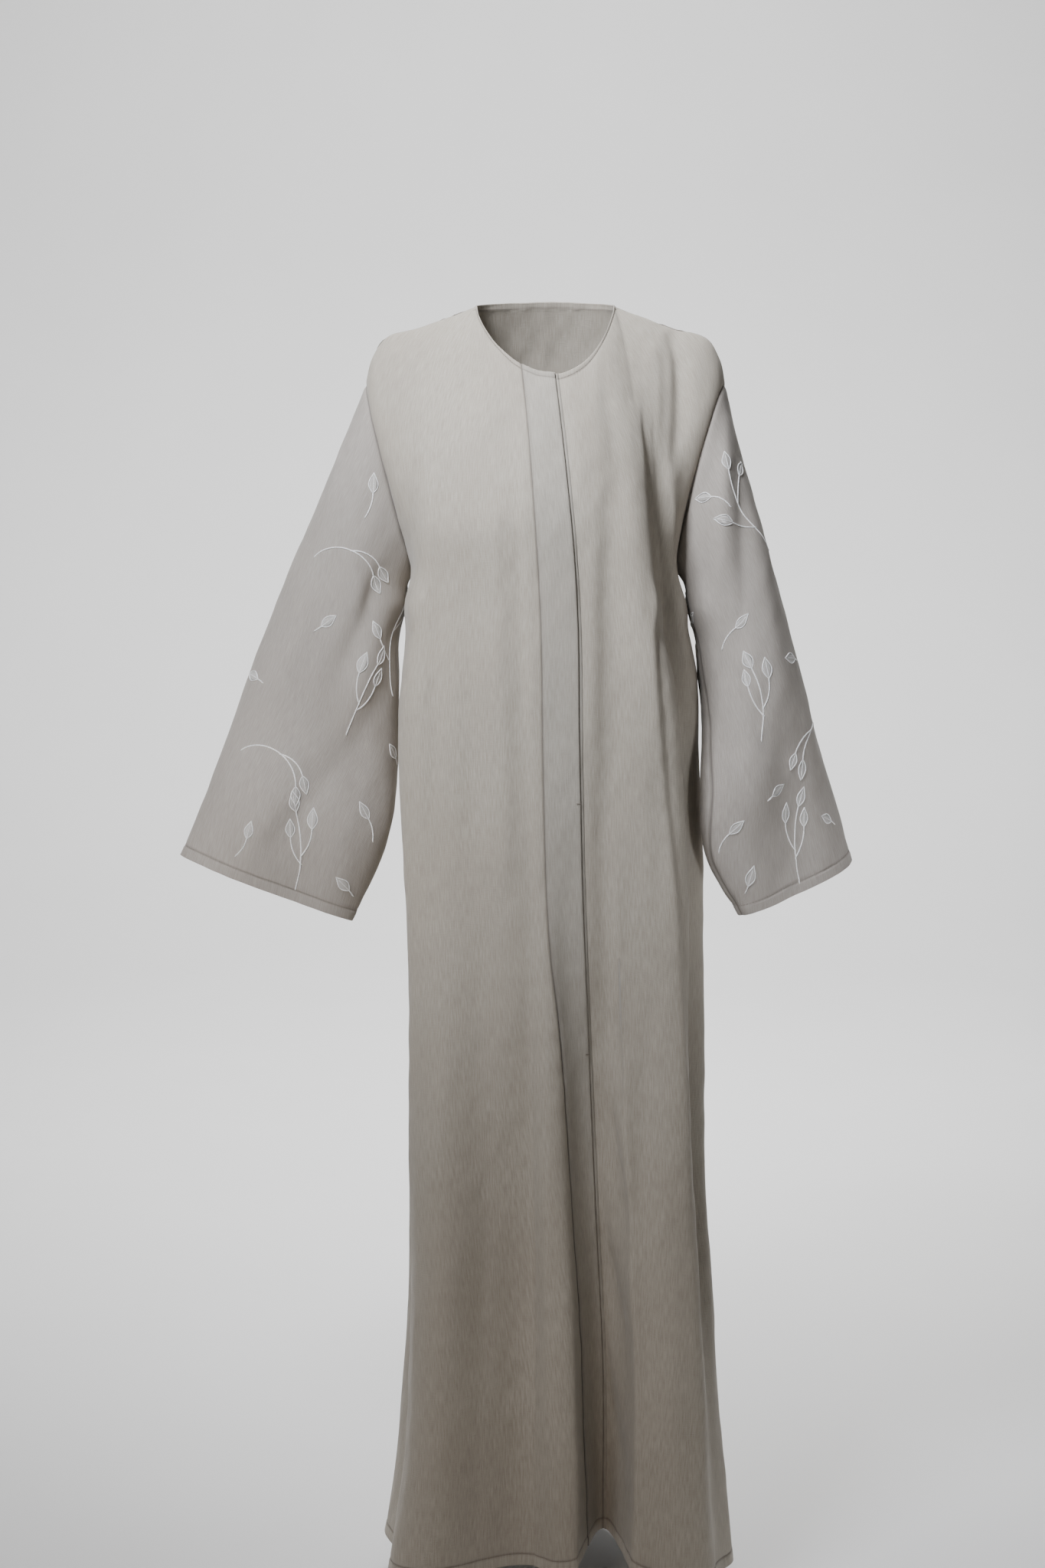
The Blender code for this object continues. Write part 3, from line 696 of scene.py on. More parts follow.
@dataclass
class CreaseField:
    """How far creases and the cloth's unevenness move a surface out or in."""

    creases: tuple[Crease, ...] = CREASES
    steps: int = 140
    swell_depth: float = 0.0010
    swell_wavelength: float = 0.070
    swell_stretch: float = 3.5
    rumple_depth: float = 0.00035
    rumple_wavelength: float = 0.024
    rumple_stretch: float = 1.8
    crease_reach: float = 3.2
    crease_turned_away: float = -0.1
    crease_taper: float = 0.8
    crease_flank: float = 0.35
    crease_start_width: float = 0.75
    crease_spread: float = 0.5
    crease_face_slope: float = 2.2
    crease_face_start: float = 0.15
    fullness: float = 0.0078
    fullness_height: float = -0.341
    fullness_reach: float = 0.028
    fullness_from: float = 0.5
    fullness_over: float = 0.4

    def crease_push(self, crease: Crease, points: Array, normals: Array) -> Array:
        """Return how far one crease moves each point.

        Args:
            crease: the crease.
            points: places on the surface.
            normals: the surface's outward normals there.

        Returns:
            One distance for each point, outwards.
        """
        t = np.linspace(0.0, 1.0, self.steps)[:, None]
        start, bend, end = (np.array(place) for place in (crease.start, crease.bend, crease.end))
        middle = 2 * bend - (start + end) / 2
        line = (1 - t) ** 2 * start + 2 * t * (1 - t) * middle + t**2 * end
        flat = points[..., [0, 2]]
        reach = self.crease_reach * crease.width
        near = ((flat > line.min(axis=0) - reach) & (flat < line.max(axis=0) + reach)).all(axis=-1)
        near &= normals[..., 1] * crease.facing.value > self.crease_turned_away
        push = np.zeros(points.shape[:-1])
        if not near.any():
            return push
        offset = flat[near][:, None, :] - line
        away = np.linalg.norm(offset, axis=-1)
        nearest = away.argmin(axis=1)
        share = nearest / (self.steps - 1)
        taper = np.sin(np.pi * np.clip(share, 0.0, 1.0)) ** self.crease_taper
        across = offset[np.arange(len(nearest)), nearest, 0]
        turned = np.tanh(across / (self.crease_flank * crease.width))
        spread = self.crease_start_width + self.crease_spread * share
        width = crease.width * spread * (1 - crease.lean * turned)
        towards = normals[near][:, 1] * crease.facing.value
        faces = ease(towards * self.crease_face_slope + self.crease_face_start)
        push[near] = crease.depth * taper * faces * np.exp(-((away.min(axis=1) / width) ** 2))
        return push

    def push(self, part: Part, points: Array, normals: Array) -> Array:
        """Return how far all creases of a part move each point out."""
        chosen = [crease for crease in self.creases if crease.part is part]
        return sum(self.crease_push(crease, points, normals) for crease in chosen)

    def underarm_fullness(self, part: Part, points: Array, normals: Array) -> Array:
        """Return how far the loose cloth below the underarms swells towards its neighbour.

        Args:
            part: the surface that is moved.
            points: places on it.
            normals: its outward normals there.

        Returns:
            One distance for each point, outwards.
        """
        towards = np.sign(points[..., 0]) * (1 if part is Part.BODY else -1)
        sideways = ease((normals[..., 0] * towards - self.fullness_from) / self.fullness_over)
        return self.fullness * sideways * bell(points[..., 2] - self.fullness_height, self.fullness_reach)

    def unevenness(self, points: Array) -> Array:
        """Return how far the cloth's own swells and rumples move each point out."""
        swell = self.swell_depth * ripple(points, self.swell_wavelength, self.swell_stretch, 11)
        return swell + self.rumple_depth * ripple(points, self.rumple_wavelength, self.rumple_stretch, 23)


@dataclass
class Patch:
    """A grid of cloth: outer points, outward normals, flat places in metres and the painted shade of its
    seams and stitched lines.

    The flat places have one column more than the points where the columns close into a loop.
    """

    points: Array
    normals: Array
    flat: Array
    lines: Array
    loop: bool = False

    def part(self, rows: slice, columns: slice) -> Patch:
        """Return a copy of some of the rows and columns.

        Args:
            rows: which rows.
            columns: which columns.

        Returns:
            The smaller patch.
        """
        return Patch(
            self.points[rows, columns].copy(),
            self.normals[rows, columns].copy(),
            self.flat[rows, columns].copy(),
            self.lines[rows, columns].copy(),
        )

    def lifted(self, distance: Any) -> Patch:
        """Return a copy moved out by a distance, or by one for each point."""
        amount = np.broadcast_to(distance, self.points.shape[:2])[..., None]
        return replace(self, points=self.points + self.normals * amount)


def grid_normals(points: Array, loop: bool = False) -> Array:
    """Return unit normals of a grid whose columns and rows turn about the outward direction.

    Args:
        points: the grid.
        loop: whether its columns close into a loop.

    Returns:
        One normal for each point.
    """
    if loop:
        padded = np.concatenate([points[:, -1:], points, points[:, :1]], axis=1)
        return grid_normals(padded)[:, 1:-1]
    across, up = np.gradient(points, axis=1), np.gradient(points, axis=0)
    return unit(np.cross(across, up))


def arc_lengths(points: Array, axis: int) -> Array:
    """Return the distance along a grid's rows or columns, from 0.

    Args:
        points: the grid.
        axis: 0 to measure up the columns and 1 along the rows.

    Returns:
        One distance for each point.
    """
    steps = np.linalg.norm(np.diff(points, axis=axis), axis=-1)
    start = np.zeros_like(np.take(steps, [0], axis=axis))
    return np.concatenate([start, np.cumsum(steps, axis=axis)], axis=axis)


@dataclass
class ClothShapes:
    """The fine surfaces of the body and sleeves, which agree where they are sewn together."""

    body: BodyForm
    sleeve_forms: dict[int, SleeveForm]
    creases: CreaseField
    rows_below: int = 200
    rows_above: int = 54
    columns_plain: int = 60
    sleeve_rings: int = 104
    seam_depth: float = 0.0014
    seam_width: float = 0.0026
    placket_groove: float = 0.0009
    hem_depth: float = 0.0145
    hem_raise: float = 0.0006
    stitch_depth: float = 0.0010
    line_width: float = 0.0011
    crease_clear: float = 0.002
    crease_fade: float = 0.035
    fullness_fade: float = 0.012
    hem_slope: float = 0.003
    pucker: float = 0.35
    pucker_wavelength: float = 0.011
    stitch_width: float = 0.0020
    seam_shade: float = 0.9
    stitch_shade: float = 0.7
    hem_clear: float = 0.002
    neck_clear: float = 0.004
    band_clear: float = 0.004
    side_clear: float = 0.008
    armhole_clear: float = 0.008
    cuff_clear: float = 0.0195
    kink_clear: float = 0.05
    kink_rounds: int = 60
    kink_share: float = 0.4
    band_steps: tuple[float, ...] = (
        *(0.0, 0.0015, 0.0040, 0.0080, 0.0130),
        *(0.0180, 0.0230, 0.0280, 0.0330, 0.0388),
    )
    beside_band: tuple[float, ...] = (0.0012, 0.0030)
    edge_steps: tuple[float, ...] = (0.0012, 0.0026, 0.0050)
    neck_steps: tuple[float, ...] = (0.0010, 0.0025, 0.0052, 0.0065, 0.0078, 0.0100)
    chest_length: float = 0.25
    grain_column: float = 0.165
    hem_steps: tuple[float, ...] = (0.0010, 0.0025, 0.0100, 0.0118, 0.0130, 0.0142, 0.0158, 0.0178)
    panel_length: float = 1.122
    half_width: float = 0.34
    kink_rows: int = 9
    hem_line: float = 0.0130
    neck_turning_less: float = 0.0060
    sleeve_length: float = 0.60
    front: Patch = field(init=False)
    back: Patch = field(init=False)
    sleeves: dict[int, Patch] = field(init=False)
    from_closure: Array = field(init=False)
    closure: int = field(init=False)
    underarm_row: int = field(init=False)
    rises: Array = field(init=False)
    columns_band: int = field(init=False)
    seam_columns: int = field(init=False)
    sleeve_places: Array = field(init=False)

    def __post_init__(self) -> None:
        """Build the grids, join their normals, crease them and join them again."""
        rows = self.row_shares()
        columns = self.column_shares()
        self.closure = len(columns) - 1
        self.columns_band = len(self.band_steps)
        self.underarm_row = int(np.searchsorted(rows, 1.0 - 1e-9))
        self.rises = rows[self.underarm_row :] - 1.0
        self.seam_columns = int((columns >= self.body.neck_share - 1e-9).sum())
        self.from_closure = np.concatenate([-columns[::-1], columns[1:]])
        self.from_closure = self.from_closure / self.body.band_share * self.body.band_width
        self.front = self.body_patch(FRONT, columns, rows)
        self.back = self.body_patch(BACK, columns, rows)
        self.sleeves = {side: self.sleeve_patch(side) for side in (1, -1)}
        self.join()
        self.raise_details()
        for patch in (self.front, self.back, *self.sleeves.values()):
            patch.normals = grid_normals(patch.points, patch.loop)
        self.join()

    def row_shares(self) -> Array:
        """Return the panels' rows, closer together at the hem and the neck.

        Returns:
            The rows, hem first.
        """
        hem = np.array(self.hem_steps) / self.panel_length
        below = np.linspace(0.0, 1.0, self.rows_below + 1)
        below = below[(below == 0.0) | (below > hem[-1] + self.hem_clear)]
        neck = 2.0 - np.array(self.neck_steps) / self.chest_length
        above = np.linspace(1.0, 2.0, self.rows_above + 1)[1:]
        above = above[(above == 2.0) | (above < neck[-1] - self.neck_clear)]
        return np.concatenate([np.sort(np.concatenate([below, hem])), np.sort(np.concatenate([above, neck]))])

    def column_shares(self) -> Array:
        """Return half a panel's columns from the middle edge, closer together at its side seam.

        Returns:
            The columns, middle edge first.
        """
        band = np.array(self.band_steps) / self.body.band_width * self.body.band_share
        beside = self.body.band_share + np.array(self.beside_band) / self.half_width
        plain = np.linspace(self.body.band_share, 1.0, self.columns_plain + 1)
        plain = plain[(plain == plain[0]) | (plain > beside[-1] + self.band_clear)]
        plain = plain[(plain < 1.0 - self.side_clear / self.half_width) | (plain == 1.0)]
        edge = 1.0 - np.array(self.edge_steps) / self.half_width
        return np.concatenate([band, np.sort(np.concatenate([plain, beside, edge]))])

    def body_patch(self, facing: Facing, columns: Array, rows: Array) -> Patch:
        """Return the whole front or back, from one side seam to the other.

        Args:
            facing: front or back.
            columns: shares across each half.
            rows: shares up it.

        Returns:
            The patch, hem row first.
        """
        halves = {side: self.body.panel(side, facing, columns, rows) for side in (1, -1)}
        first = facing.value
        points = np.hstack([halves[first][:, ::-1], halves[-first][:, 1:]])
        points = self.soften_underarm(points)
        flat = np.stack([self.hang_straight(points), arc_lengths(points, 0)], axis=-1)
        return Patch(points, grid_normals(points), flat, np.zeros(points.shape[:2]))

    def hang_straight(self, points: Array) -> Array:
        """Return places across a body grid, with the grain running down the middle of each half.

        Args:
            points: the grid of the front or back.

        Returns:
            One distance from the middle column for each point.
        """
        across = arc_lengths(points, 1)
        across = across - across[:, [self.closure]]
        for side in (-1, 1):
            grain = int(np.abs(self.from_closure - side * self.grain_column).argmin())
            drift = across[:, grain] - across[self.underarm_row, grain]
            drift[self.underarm_row :] = 0.0
            share = np.clip(side * self.from_closure / self.grain_column, 0.0, 1.0)
            across = across - drift[:, None] * share
        return across

    def soften_underarm(self, points: Array) -> Array:
        """Return a body grid with the change of slope at the underarm row eased away.

        Args:
            points: the grid.

        Returns:
            The softened grid.
        """
        row = np.arange(len(points))[:, None]
        across = arc_lengths(points, 1)[self.underarm_row]
        from_side = np.minimum(across, across[-1] - across)
        weight = bell(row - self.underarm_row, self.kink_rows) * ease(from_side / self.kink_clear)
        for _ in range(self.kink_rounds):
            bend = np.zeros_like(points)
            bend[1:-1] = points[:-2] + points[2:] - 2 * points[1:-1]
            points = points + self.kink_share * weight[..., None] * bend
        return points

    def sleeve_patch(self, side: int) -> Patch:
        """Return one sleeve, whose columns start at the underarm seam and run round it.

        Args:
            side: 1 for the wearer's left and -1 for the right.

        Returns:
            The patch, armhole ring first.
        """
        half = 180.0 * self.rises
        turns = (180.0 + side * np.concatenate([half, 360.0 - half[-2:0:-1]])) % 360.0
        length = self.sleeve_length
        plain = np.linspace(0.0, 1.0, self.sleeve_rings + 1)
        first, last = self.armhole_clear / length, 1.0 - self.cuff_clear / length
        plain = plain[(plain == 0.0) | ((plain > first) & (plain < last))]
        cuff = 1.0 - np.array((*self.hem_steps, 0.0)) / length
        places = np.sort(np.concatenate([plain, np.array(self.edge_steps) / length, cuff]))
        self.sleeve_places = places
        points = self.sleeve_forms[side].point(places, turns)
        closed = np.concatenate([points, points[:, :1]], axis=1)
        across = arc_lengths(closed, 1)
        across = across - across[:, [len(self.rises) - 1]]
        flat = np.stack([across, -arc_lengths(closed, 0)], axis=-1)
        return Patch(points, grid_normals(points, True), flat, np.zeros(points.shape[:2]), True)

    def edge_normals(self, side: int) -> tuple[Array, Array, Array]:
        """Return one side's views of the front, back and sleeve normals, side seam last."""
        return self.front.normals[:, ::side], self.back.normals[:, ::-side], self.sleeves[side].normals[0]

    def join(self) -> None:
        """Make the normals agree along the side seams, armholes and shoulder seams."""
        under, top = self.underarm_row, len(self.rises) - 1
        count = 2 * top
        for side in (1, -1):
            front, back, ring = self.edge_normals(side)
            steps = np.arange(top + 1)
            ahead, behind = (-side * steps) % count, (side * steps) % count
            ends = ((under, 0), (-1, top))
            corners = [unit(front[row, -1] + back[row, -1] + ring[place % count]) for row, place in ends]
            share_normals(front[: under + 1, -1], back[: under + 1, -1])
            share_normals(front[-1, -self.seam_columns :], back[-1, -self.seam_columns :])
            for edge, places in ((front[under:, -1], ahead), (back[under:, -1], behind)):
                both = unit(edge + ring[places])
                edge[...] = both
                ring[places] = both
            for (row, place), corner in zip(ends, corners):
                front[row, -1] = back[row, -1] = ring[place % count] = corner

    def raise_details(self) -> None:
        """Move the surfaces by their creases, seams, hems and turned edges."""
        rings = {side: sleeve.points[0].copy() for side, sleeve in self.sleeves.items()}
        for patch in (self.front, self.back):
            away = np.minimum(*(distance_to(patch.points, ring) for ring in rings.values()))
            across = arc_lengths(patch.points, 1)
            side = np.minimum(across, across[:, -1:] - across)
            side[self.underarm_row + 1 :] = away[self.underarm_row + 1 :]
            up = arc_lengths(patch.points, 0)
            from_top, from_hem = up[-1] - up, up
            off_middle = np.abs(np.arange(patch.points.shape[1]) - self.closure)
            neck = off_middle < self.closure + 1 - self.seam_columns
            shoulder = np.where(neck[None, :], 1.0, from_top)
            seam = np.minimum(np.minimum(side, shoulder), away)
            edge = np.where(neck[None, :], from_top, 1.0)
            self.displace(patch, BODY, away, seam, np.minimum(from_hem, edge + self.neck_turning_less))
        placket = bell(self.from_closure + self.body.band_width, self.line_width)[None, :]
        self.front.points -= self.front.normals * (self.placket_groove * placket)[..., None]
        # The placket's seam line also gets painted shade
        self.front.lines = np.maximum(self.front.lines, placket)
        for side, patch in self.sleeves.items():
            closed = arc_lengths(np.concatenate([patch.points, patch.points[:, :1]], axis=1), 1)
            round_seam = np.minimum(closed[:, :-1], closed[:, -1:] - closed[:, :-1])
            down = arc_lengths(patch.points, 0)
            self.displace(patch, SLEEVE, down, np.minimum(round_seam, down), down[-1] - down)

    def displace(
        self, patch: Patch, part: Part, from_armhole: Array, from_seam: Array, from_edge: Array
    ) -> None:
        """Move one patch.

        Args:
            patch: the grid to move.
            part: whose creases it takes.
            from_armhole: distance of each point from the armhole, where the creases die away.
            from_seam: distance from the nearest seam.
            from_edge: distance from the turned edge.
        """
        creases = self.creases.push(part, patch.points, patch.normals)
        grown = ease((from_armhole - self.crease_clear) / self.crease_fade)
        push = self.creases.unevenness(patch.points) + creases * grown
        full = self.creases.underarm_fullness(part, patch.points, patch.normals)
        push += full * ease(from_armhole / self.fullness_fade)
        push = push - self.seam_depth * bell(from_seam, self.seam_width)
        turned = self.hem_raise * ease((self.hem_depth - from_edge) / self.hem_slope + 0.5)
        pucker = 1 + self.pucker * ripple(patch.points, self.pucker_wavelength, 1.0, 7)
        stitched = bell(from_edge - self.hem_line, self.line_width)
        pulled = self.stitch_depth * bell(from_edge - self.hem_line, self.stitch_width)
        push = push + turned - pulled * pucker
        # Painted shade along the seams and the hem's stitched line, for the cloth's material to darken
        seams = self.seam_shade * bell(from_seam, self.line_width)
        patch.lines = np.maximum(seams, self.stitch_shade * stitched)
        patch.points = patch.points + patch.normals * push[..., None]


def distance_to(points: Array, line: Array) -> Array:
    """Return the distance of each point of a grid from the nearest point of a line."""
    return np.array([np.linalg.norm(row[:, None] - line, axis=-1).min(axis=1) for row in points])


def share_normals(first: Array, second: Array) -> None:
    """Give two edges that meet at a seam the same normals, in place.

    Args:
        first: one edge's normals.
        second: the other edge's.
    """
    both = unit(first + second)
    first[...] = both
    second[...] = both


# Finishes


def linear(code: str) -> tuple[float, float, float, float]:
    """Return an sRGB hex colour as a linear one with full alpha."""
    parts = [int(code[i : i + 2], 16) / 255 for i in (1, 3, 5)]
    return (*(p / 12.92 if p <= 0.04045 else ((p + 0.055) / 1.055) ** 2.4 for p in parts), 1.0)


def add_node(tree: Any, kind: str, settings: dict[str, Any] | None = None, **inputs: Any) -> Any:
    """Add a node to a tree.

    Args:
        tree: the node tree.
        kind: the node's type.
        settings: properties of the node.
        **inputs: values or sockets for inputs, by name with _ for a space, or by number as i0, i1.

    Returns:
        The node.
    """
    node = tree.nodes.new(kind)
    for name, value in (settings or {}).items():
        setattr(node, name, value)
    for name, value in inputs.items():
        number = name[1:].isdigit() and name[0] == "i"
        socket = node.inputs[int(name[1:])] if number else node.inputs[name.replace("_", " ")]
        if isinstance(value, bpy.types.NodeSocket):
            tree.links.new(value, socket)
        else:
            socket.default_value = value
    return node


def new_material(name: str) -> tuple[Any, Any]:
    """Return a new material and its Principled shader.

    Args:
        name: the material's name.

    Returns:
        The material and the shader.
    """
    material = bpy.data.materials.new(name)
    material.use_nodes = True
    return material, material.node_tree.nodes["Principled BSDF"]


@dataclass(frozen=True)
class ClothFinish:
    """A plain-woven linen-look cloth with uneven slub yarns, piece dyed and pressed.

    Its slubs give fine upright streaks, its matt yarns spread the light softly and the fuzz of
    its surface glows a little at grazing angles.
    """

    name: str
    colour: str
    slub_colour: str
    shade_colour: str
    # The yarns are 0.4 mm apart, too fine to show from here, so they are drawn 1.1 mm apart
    yarn: float = 1.1 * MILLIMETRE
    slub_length: float = 17 * MILLIMETRE
    cross_length: float = 9 * MILLIMETRE
    patch: float = 90 * MILLIMETRE
    bump: float = 0.45 * MILLIMETRE
    roughness: float = 0.86
    sheen: float = 0.14
    sheen_roughness: float = 0.45
    # Seams and stitched lines pull the cloth in; the shade in their grooves and beside the placket's free
    # edge is painted with this colour
    painted_seam_shade_colour: str = "#57504a"
    line_shade: float = 0.75

    def streaks(self, tree: Any, uv: Any, size: tuple[float, float], seed: float) -> Any:
        """Return a noise socket with grains of a size across and up the cloth.

        Args:
            tree: the node tree.
            uv: the socket of the flat places.
            size: the grains' two sizes in metres.
            seed: moves the pattern.

        Returns:
            The noise socket.
        """
        scale = (1 / size[0], 1 / size[1], 1.0)
        mapped = add_node(tree, "ShaderNodeMapping", Vector=uv, Scale=scale, Location=(seed, seed, 0))
        noise = add_node(tree, "ShaderNodeTexNoise", Vector=mapped.outputs[0], Scale=1.0, Detail=2.0)
        return noise.outputs["Fac"]

    def material(self) -> Any:
        """Return the finish as a material.

        Returns:
            The material.
        """
        material, shader = new_material(self.name)
        tree = material.node_tree
        uv = add_node(tree, "ShaderNodeUVMap", {"uv_map": CLOTH_UV}).outputs[0]
        warp = self.streaks(tree, uv, (self.yarn, self.slub_length), 3.1)
        weft = self.streaks(tree, uv, (self.cross_length, self.yarn), 8.7)
        patches = self.streaks(tree, uv, (self.patch, self.patch * 1.6), 5.2)
        slub = add_node(tree, "ShaderNodeMapRange", Value=warp, From_Min=0.36, From_Max=0.72)
        dull = add_node(tree, "ShaderNodeMapRange", Value=patches, From_Min=0.3, From_Max=0.75, To_Max=0.35)
        base = self.mix(tree, slub.outputs[0], linear(self.colour), linear(self.slub_colour))
        weave = add_node(tree, "ShaderNodeMapRange", Value=weft, From_Min=0.45, From_Max=0.8, To_Max=0.35)
        base = self.mix(tree, weave.outputs[0], base, linear(self.slub_colour))
        base = self.mix(tree, dull.outputs[0], base, linear(self.shade_colour))
        # Painted shade: the colour darkens along seams, stitched lines and the placket's edge by the seam
        # attribute
        line = add_node(tree, "ShaderNodeAttribute", {"attribute_name": PAINTED_SEAM_SHADE}).outputs["Fac"]
        pressed = add_node(tree, "ShaderNodeMath", {"operation": "MULTIPLY"}, i0=line, i1=self.line_shade)
        base = self.mix(tree, pressed.outputs[0], base, linear(self.painted_seam_shade_colour))
        tree.links.new(base, shader.inputs["Base Color"])
        height = add_node(tree, "ShaderNodeMath", {"operation": "ADD"}, i0=warp, i1=weft)
        bump = add_node(tree, "ShaderNodeBump", Height=height.outputs[0], Distance=self.bump, Strength=0.5)
        tree.links.new(bump.outputs[0], shader.inputs["Normal"])
        shader.inputs["Roughness"].default_value = self.roughness
        shader.inputs["Sheen Weight"].default_value = self.sheen
        shader.inputs["Sheen Roughness"].default_value = self.sheen_roughness
        shader.inputs["Specular IOR Level"].default_value = 0.25
        return material

    @staticmethod
    def mix(tree: Any, share: Any, first: Any, second: Any) -> Any:
        """Return the colour socket of two colours mixed by a share."""
        node = add_node(tree, "ShaderNodeMix", {"data_type": "RGBA"}, i0=share, i6=first, i7=second)
        return node.outputs[2]


@dataclass(frozen=True)
class ThreadFinish:
    """Spun or filament thread; the light and shade of its twist are painted into its colour as small light
    and dark turns along a stitch, over a matching bump.
    """

    name: str
    colour: str
    painted_shade_colour: str
    twist: float = 1.2 * MILLIMETRE
    roughness: float = 0.55
    sheen: float = 0.15
    specular: float = 0.4

    def material(self) -> Any:
        """Return the finish as a material.

        Returns:
            The material.
        """
        material, shader = new_material(self.name)
        tree = material.node_tree
        place = add_node(tree, "ShaderNodeTexCoord").outputs["Object"]
        noise = add_node(tree, "ShaderNodeTexNoise", Vector=place, Scale=1 / self.twist, Detail=1.0)
        turn = add_node(tree, "ShaderNodeMapRange", Value=noise.outputs["Fac"], From_Min=0.35, From_Max=0.65)
        # Painted light and shade of the twist's turns
        colour = ClothFinish.mix(tree, turn.outputs[0], linear(self.painted_shade_colour), linear(self.colour))
        tree.links.new(colour, shader.inputs["Base Color"])
        rough = add_node(tree, "ShaderNodeMapRange", Value=noise.outputs["Fac"])
        rough.inputs["To Min"].default_value = self.roughness - 0.1
        rough.inputs["To Max"].default_value = self.roughness + 0.1
        tree.links.new(rough.outputs[0], shader.inputs["Roughness"])
        bump = add_node(tree, "ShaderNodeBump", Height=noise.outputs["Fac"], Distance=0.2 * MILLIMETRE)
        tree.links.new(bump.outputs[0], shader.inputs["Normal"])
        shader.inputs["Sheen Weight"].default_value = self.sheen
        shader.inputs["Specular IOR Level"].default_value = self.specular
        return material


@dataclass(frozen=True)
class SatinFinish:
    """Rayon embroidery thread laid in close slanting rows from a leaf's vein to its edge.

    The shade between the rows and the light on their crests are painted into the colour as fine light and
    dark ribs that meet at the vein, over a matching bump, with a soft silvery shine.
    """

    name: str = "rayon_embroidery_thread_satin_rows"
    colour: str = "#dedad4"
    painted_shade_colour: str = "#8a837b"
    # The rows are 0.4 mm apart, too fine to show from here, so they are drawn 1.3 mm apart
    row: float = 1.3 * MILLIMETRE
    slant: float = 0.7
    bump: float = 0.3 * MILLIMETRE
    roughness: float = 0.38
    sheen: float = 0.4
    specular: float = 0.8

    def material(self) -> Any:
        """Return the finish as a material.

        Returns:
            The material.
        """
        material, shader = new_material(self.name)
        tree = material.node_tree
        uv = add_node(tree, "ShaderNodeUVMap", {"uv_map": CLOTH_UV}).outputs[0]
        parts = add_node(tree, "ShaderNodeSeparateXYZ", i0=uv).outputs
        across = add_node(tree, "ShaderNodeMath", {"operation": "ABSOLUTE"}, i0=parts[1]).outputs[0]
        times, less = {"operation": "MULTIPLY"}, {"operation": "SUBTRACT"}
        slanted = add_node(tree, "ShaderNodeMath", times, i0=across, i1=self.slant).outputs[0]
        place = add_node(tree, "ShaderNodeMath", less, i0=parts[0], i1=slanted).outputs[0]
        turns = add_node(tree, "ShaderNodeMath", times, i0=place, i1=2 * np.pi / self.row)
        wave = add_node(tree, "ShaderNodeMath", {"operation": "SINE"}, i0=turns.outputs[0]).outputs[0]
        rib = add_node(tree, "ShaderNodeMapRange", Value=wave, From_Min=-1.0, From_Max=1.0).outputs[0]
        # Painted shade between the satin rows and painted light on their crests
        colour = ClothFinish.mix(tree, rib, linear(self.painted_shade_colour), linear(self.colour))
        tree.links.new(colour, shader.inputs["Base Color"])
        bump = add_node(tree, "ShaderNodeBump", Height=rib, Distance=self.bump, Strength=0.8)
        tree.links.new(bump.outputs[0], shader.inputs["Normal"])
        shader.inputs["Roughness"].default_value = self.roughness
        shader.inputs["Sheen Weight"].default_value = self.sheen
        shader.inputs["Specular IOR Level"].default_value = self.specular
        return material


@dataclass(frozen=True)
class StudioFinish:
    """Matt painted studio floor and backdrop, with faint roller marks."""

    name: str = "painted_studio_paper"
    colour: str = "#d9d9d9"
    worn_colour: str = "#d4d4d4"
    mark: float = 0.35

    def material(self) -> Any:
        """Return the finish as a material.

        Returns:
            The material.
        """
        material, shader = new_material(self.name)
        tree = material.node_tree
        place = add_node(tree, "ShaderNodeTexCoord").outputs["Object"]
        noise = add_node(tree, "ShaderNodeTexNoise", Vector=place, Scale=1 / self.mark, Detail=2.0)
        share = noise.outputs["Fac"]
        colour = ClothFinish.mix(tree, share, linear(self.colour), linear(self.worn_colour))
        tree.links.new(colour, shader.inputs["Base Color"])
        shader.inputs["Roughness"].default_value = 0.95
        shader.inputs["Specular IOR Level"].default_value = 0.1
        return material


PANEL_CLOTH = ClothFinish("linen_look_cloth_slub_woven", "#a39b8e", "#b8b1a4", "#9b9184")
BAND_CLOTH = ClothFinish(
    "linen_look_cloth_pressed_band", "#a19b90", "#b4aea3", "#999186", bump=0.35 * MILLIMETRE
)
SLEEVE_CLOTH = ClothFinish("linen_look_cloth_sleeve", "#9b948c", "#aea79f", "#918a81")
SEWING_THREAD = ThreadFinish("polyester_sewing_thread_spun", "#8d857b", "#6f675d")
SILVER_THREAD = ThreadFinish(
    "rayon_embroidery_thread_twisted", "#ffffff", "#e2dfdb", 1.2 * MILLIMETRE, 0.34, 0.5, 0.9
)
SATIN_FILL = SatinFinish()


# Making meshes


def material_of(finish: Any) -> Any:
    """Return a finish's material, which is made only once."""
    return bpy.data.materials.get(finish.name) or finish.material()


def new_piece(name: str, points: Any, faces: Any, material: Any) -> Any:
    """Return a new smooth mesh object at the origin.

    Args:
        name: the object's name.
        points: its points.
        faces: its faces, by point number.
        material: its material.

    Returns:
        The object.
    """
    mesh = bpy.data.meshes.new(name)
    mesh.from_pydata(np.asarray(points).tolist(), [], faces)
    mesh.materials.append(material)
    mesh.shade_smooth()
    piece = bpy.data.objects.new(name, mesh)
    bpy.context.scene.collection.objects.link(piece)
    return piece


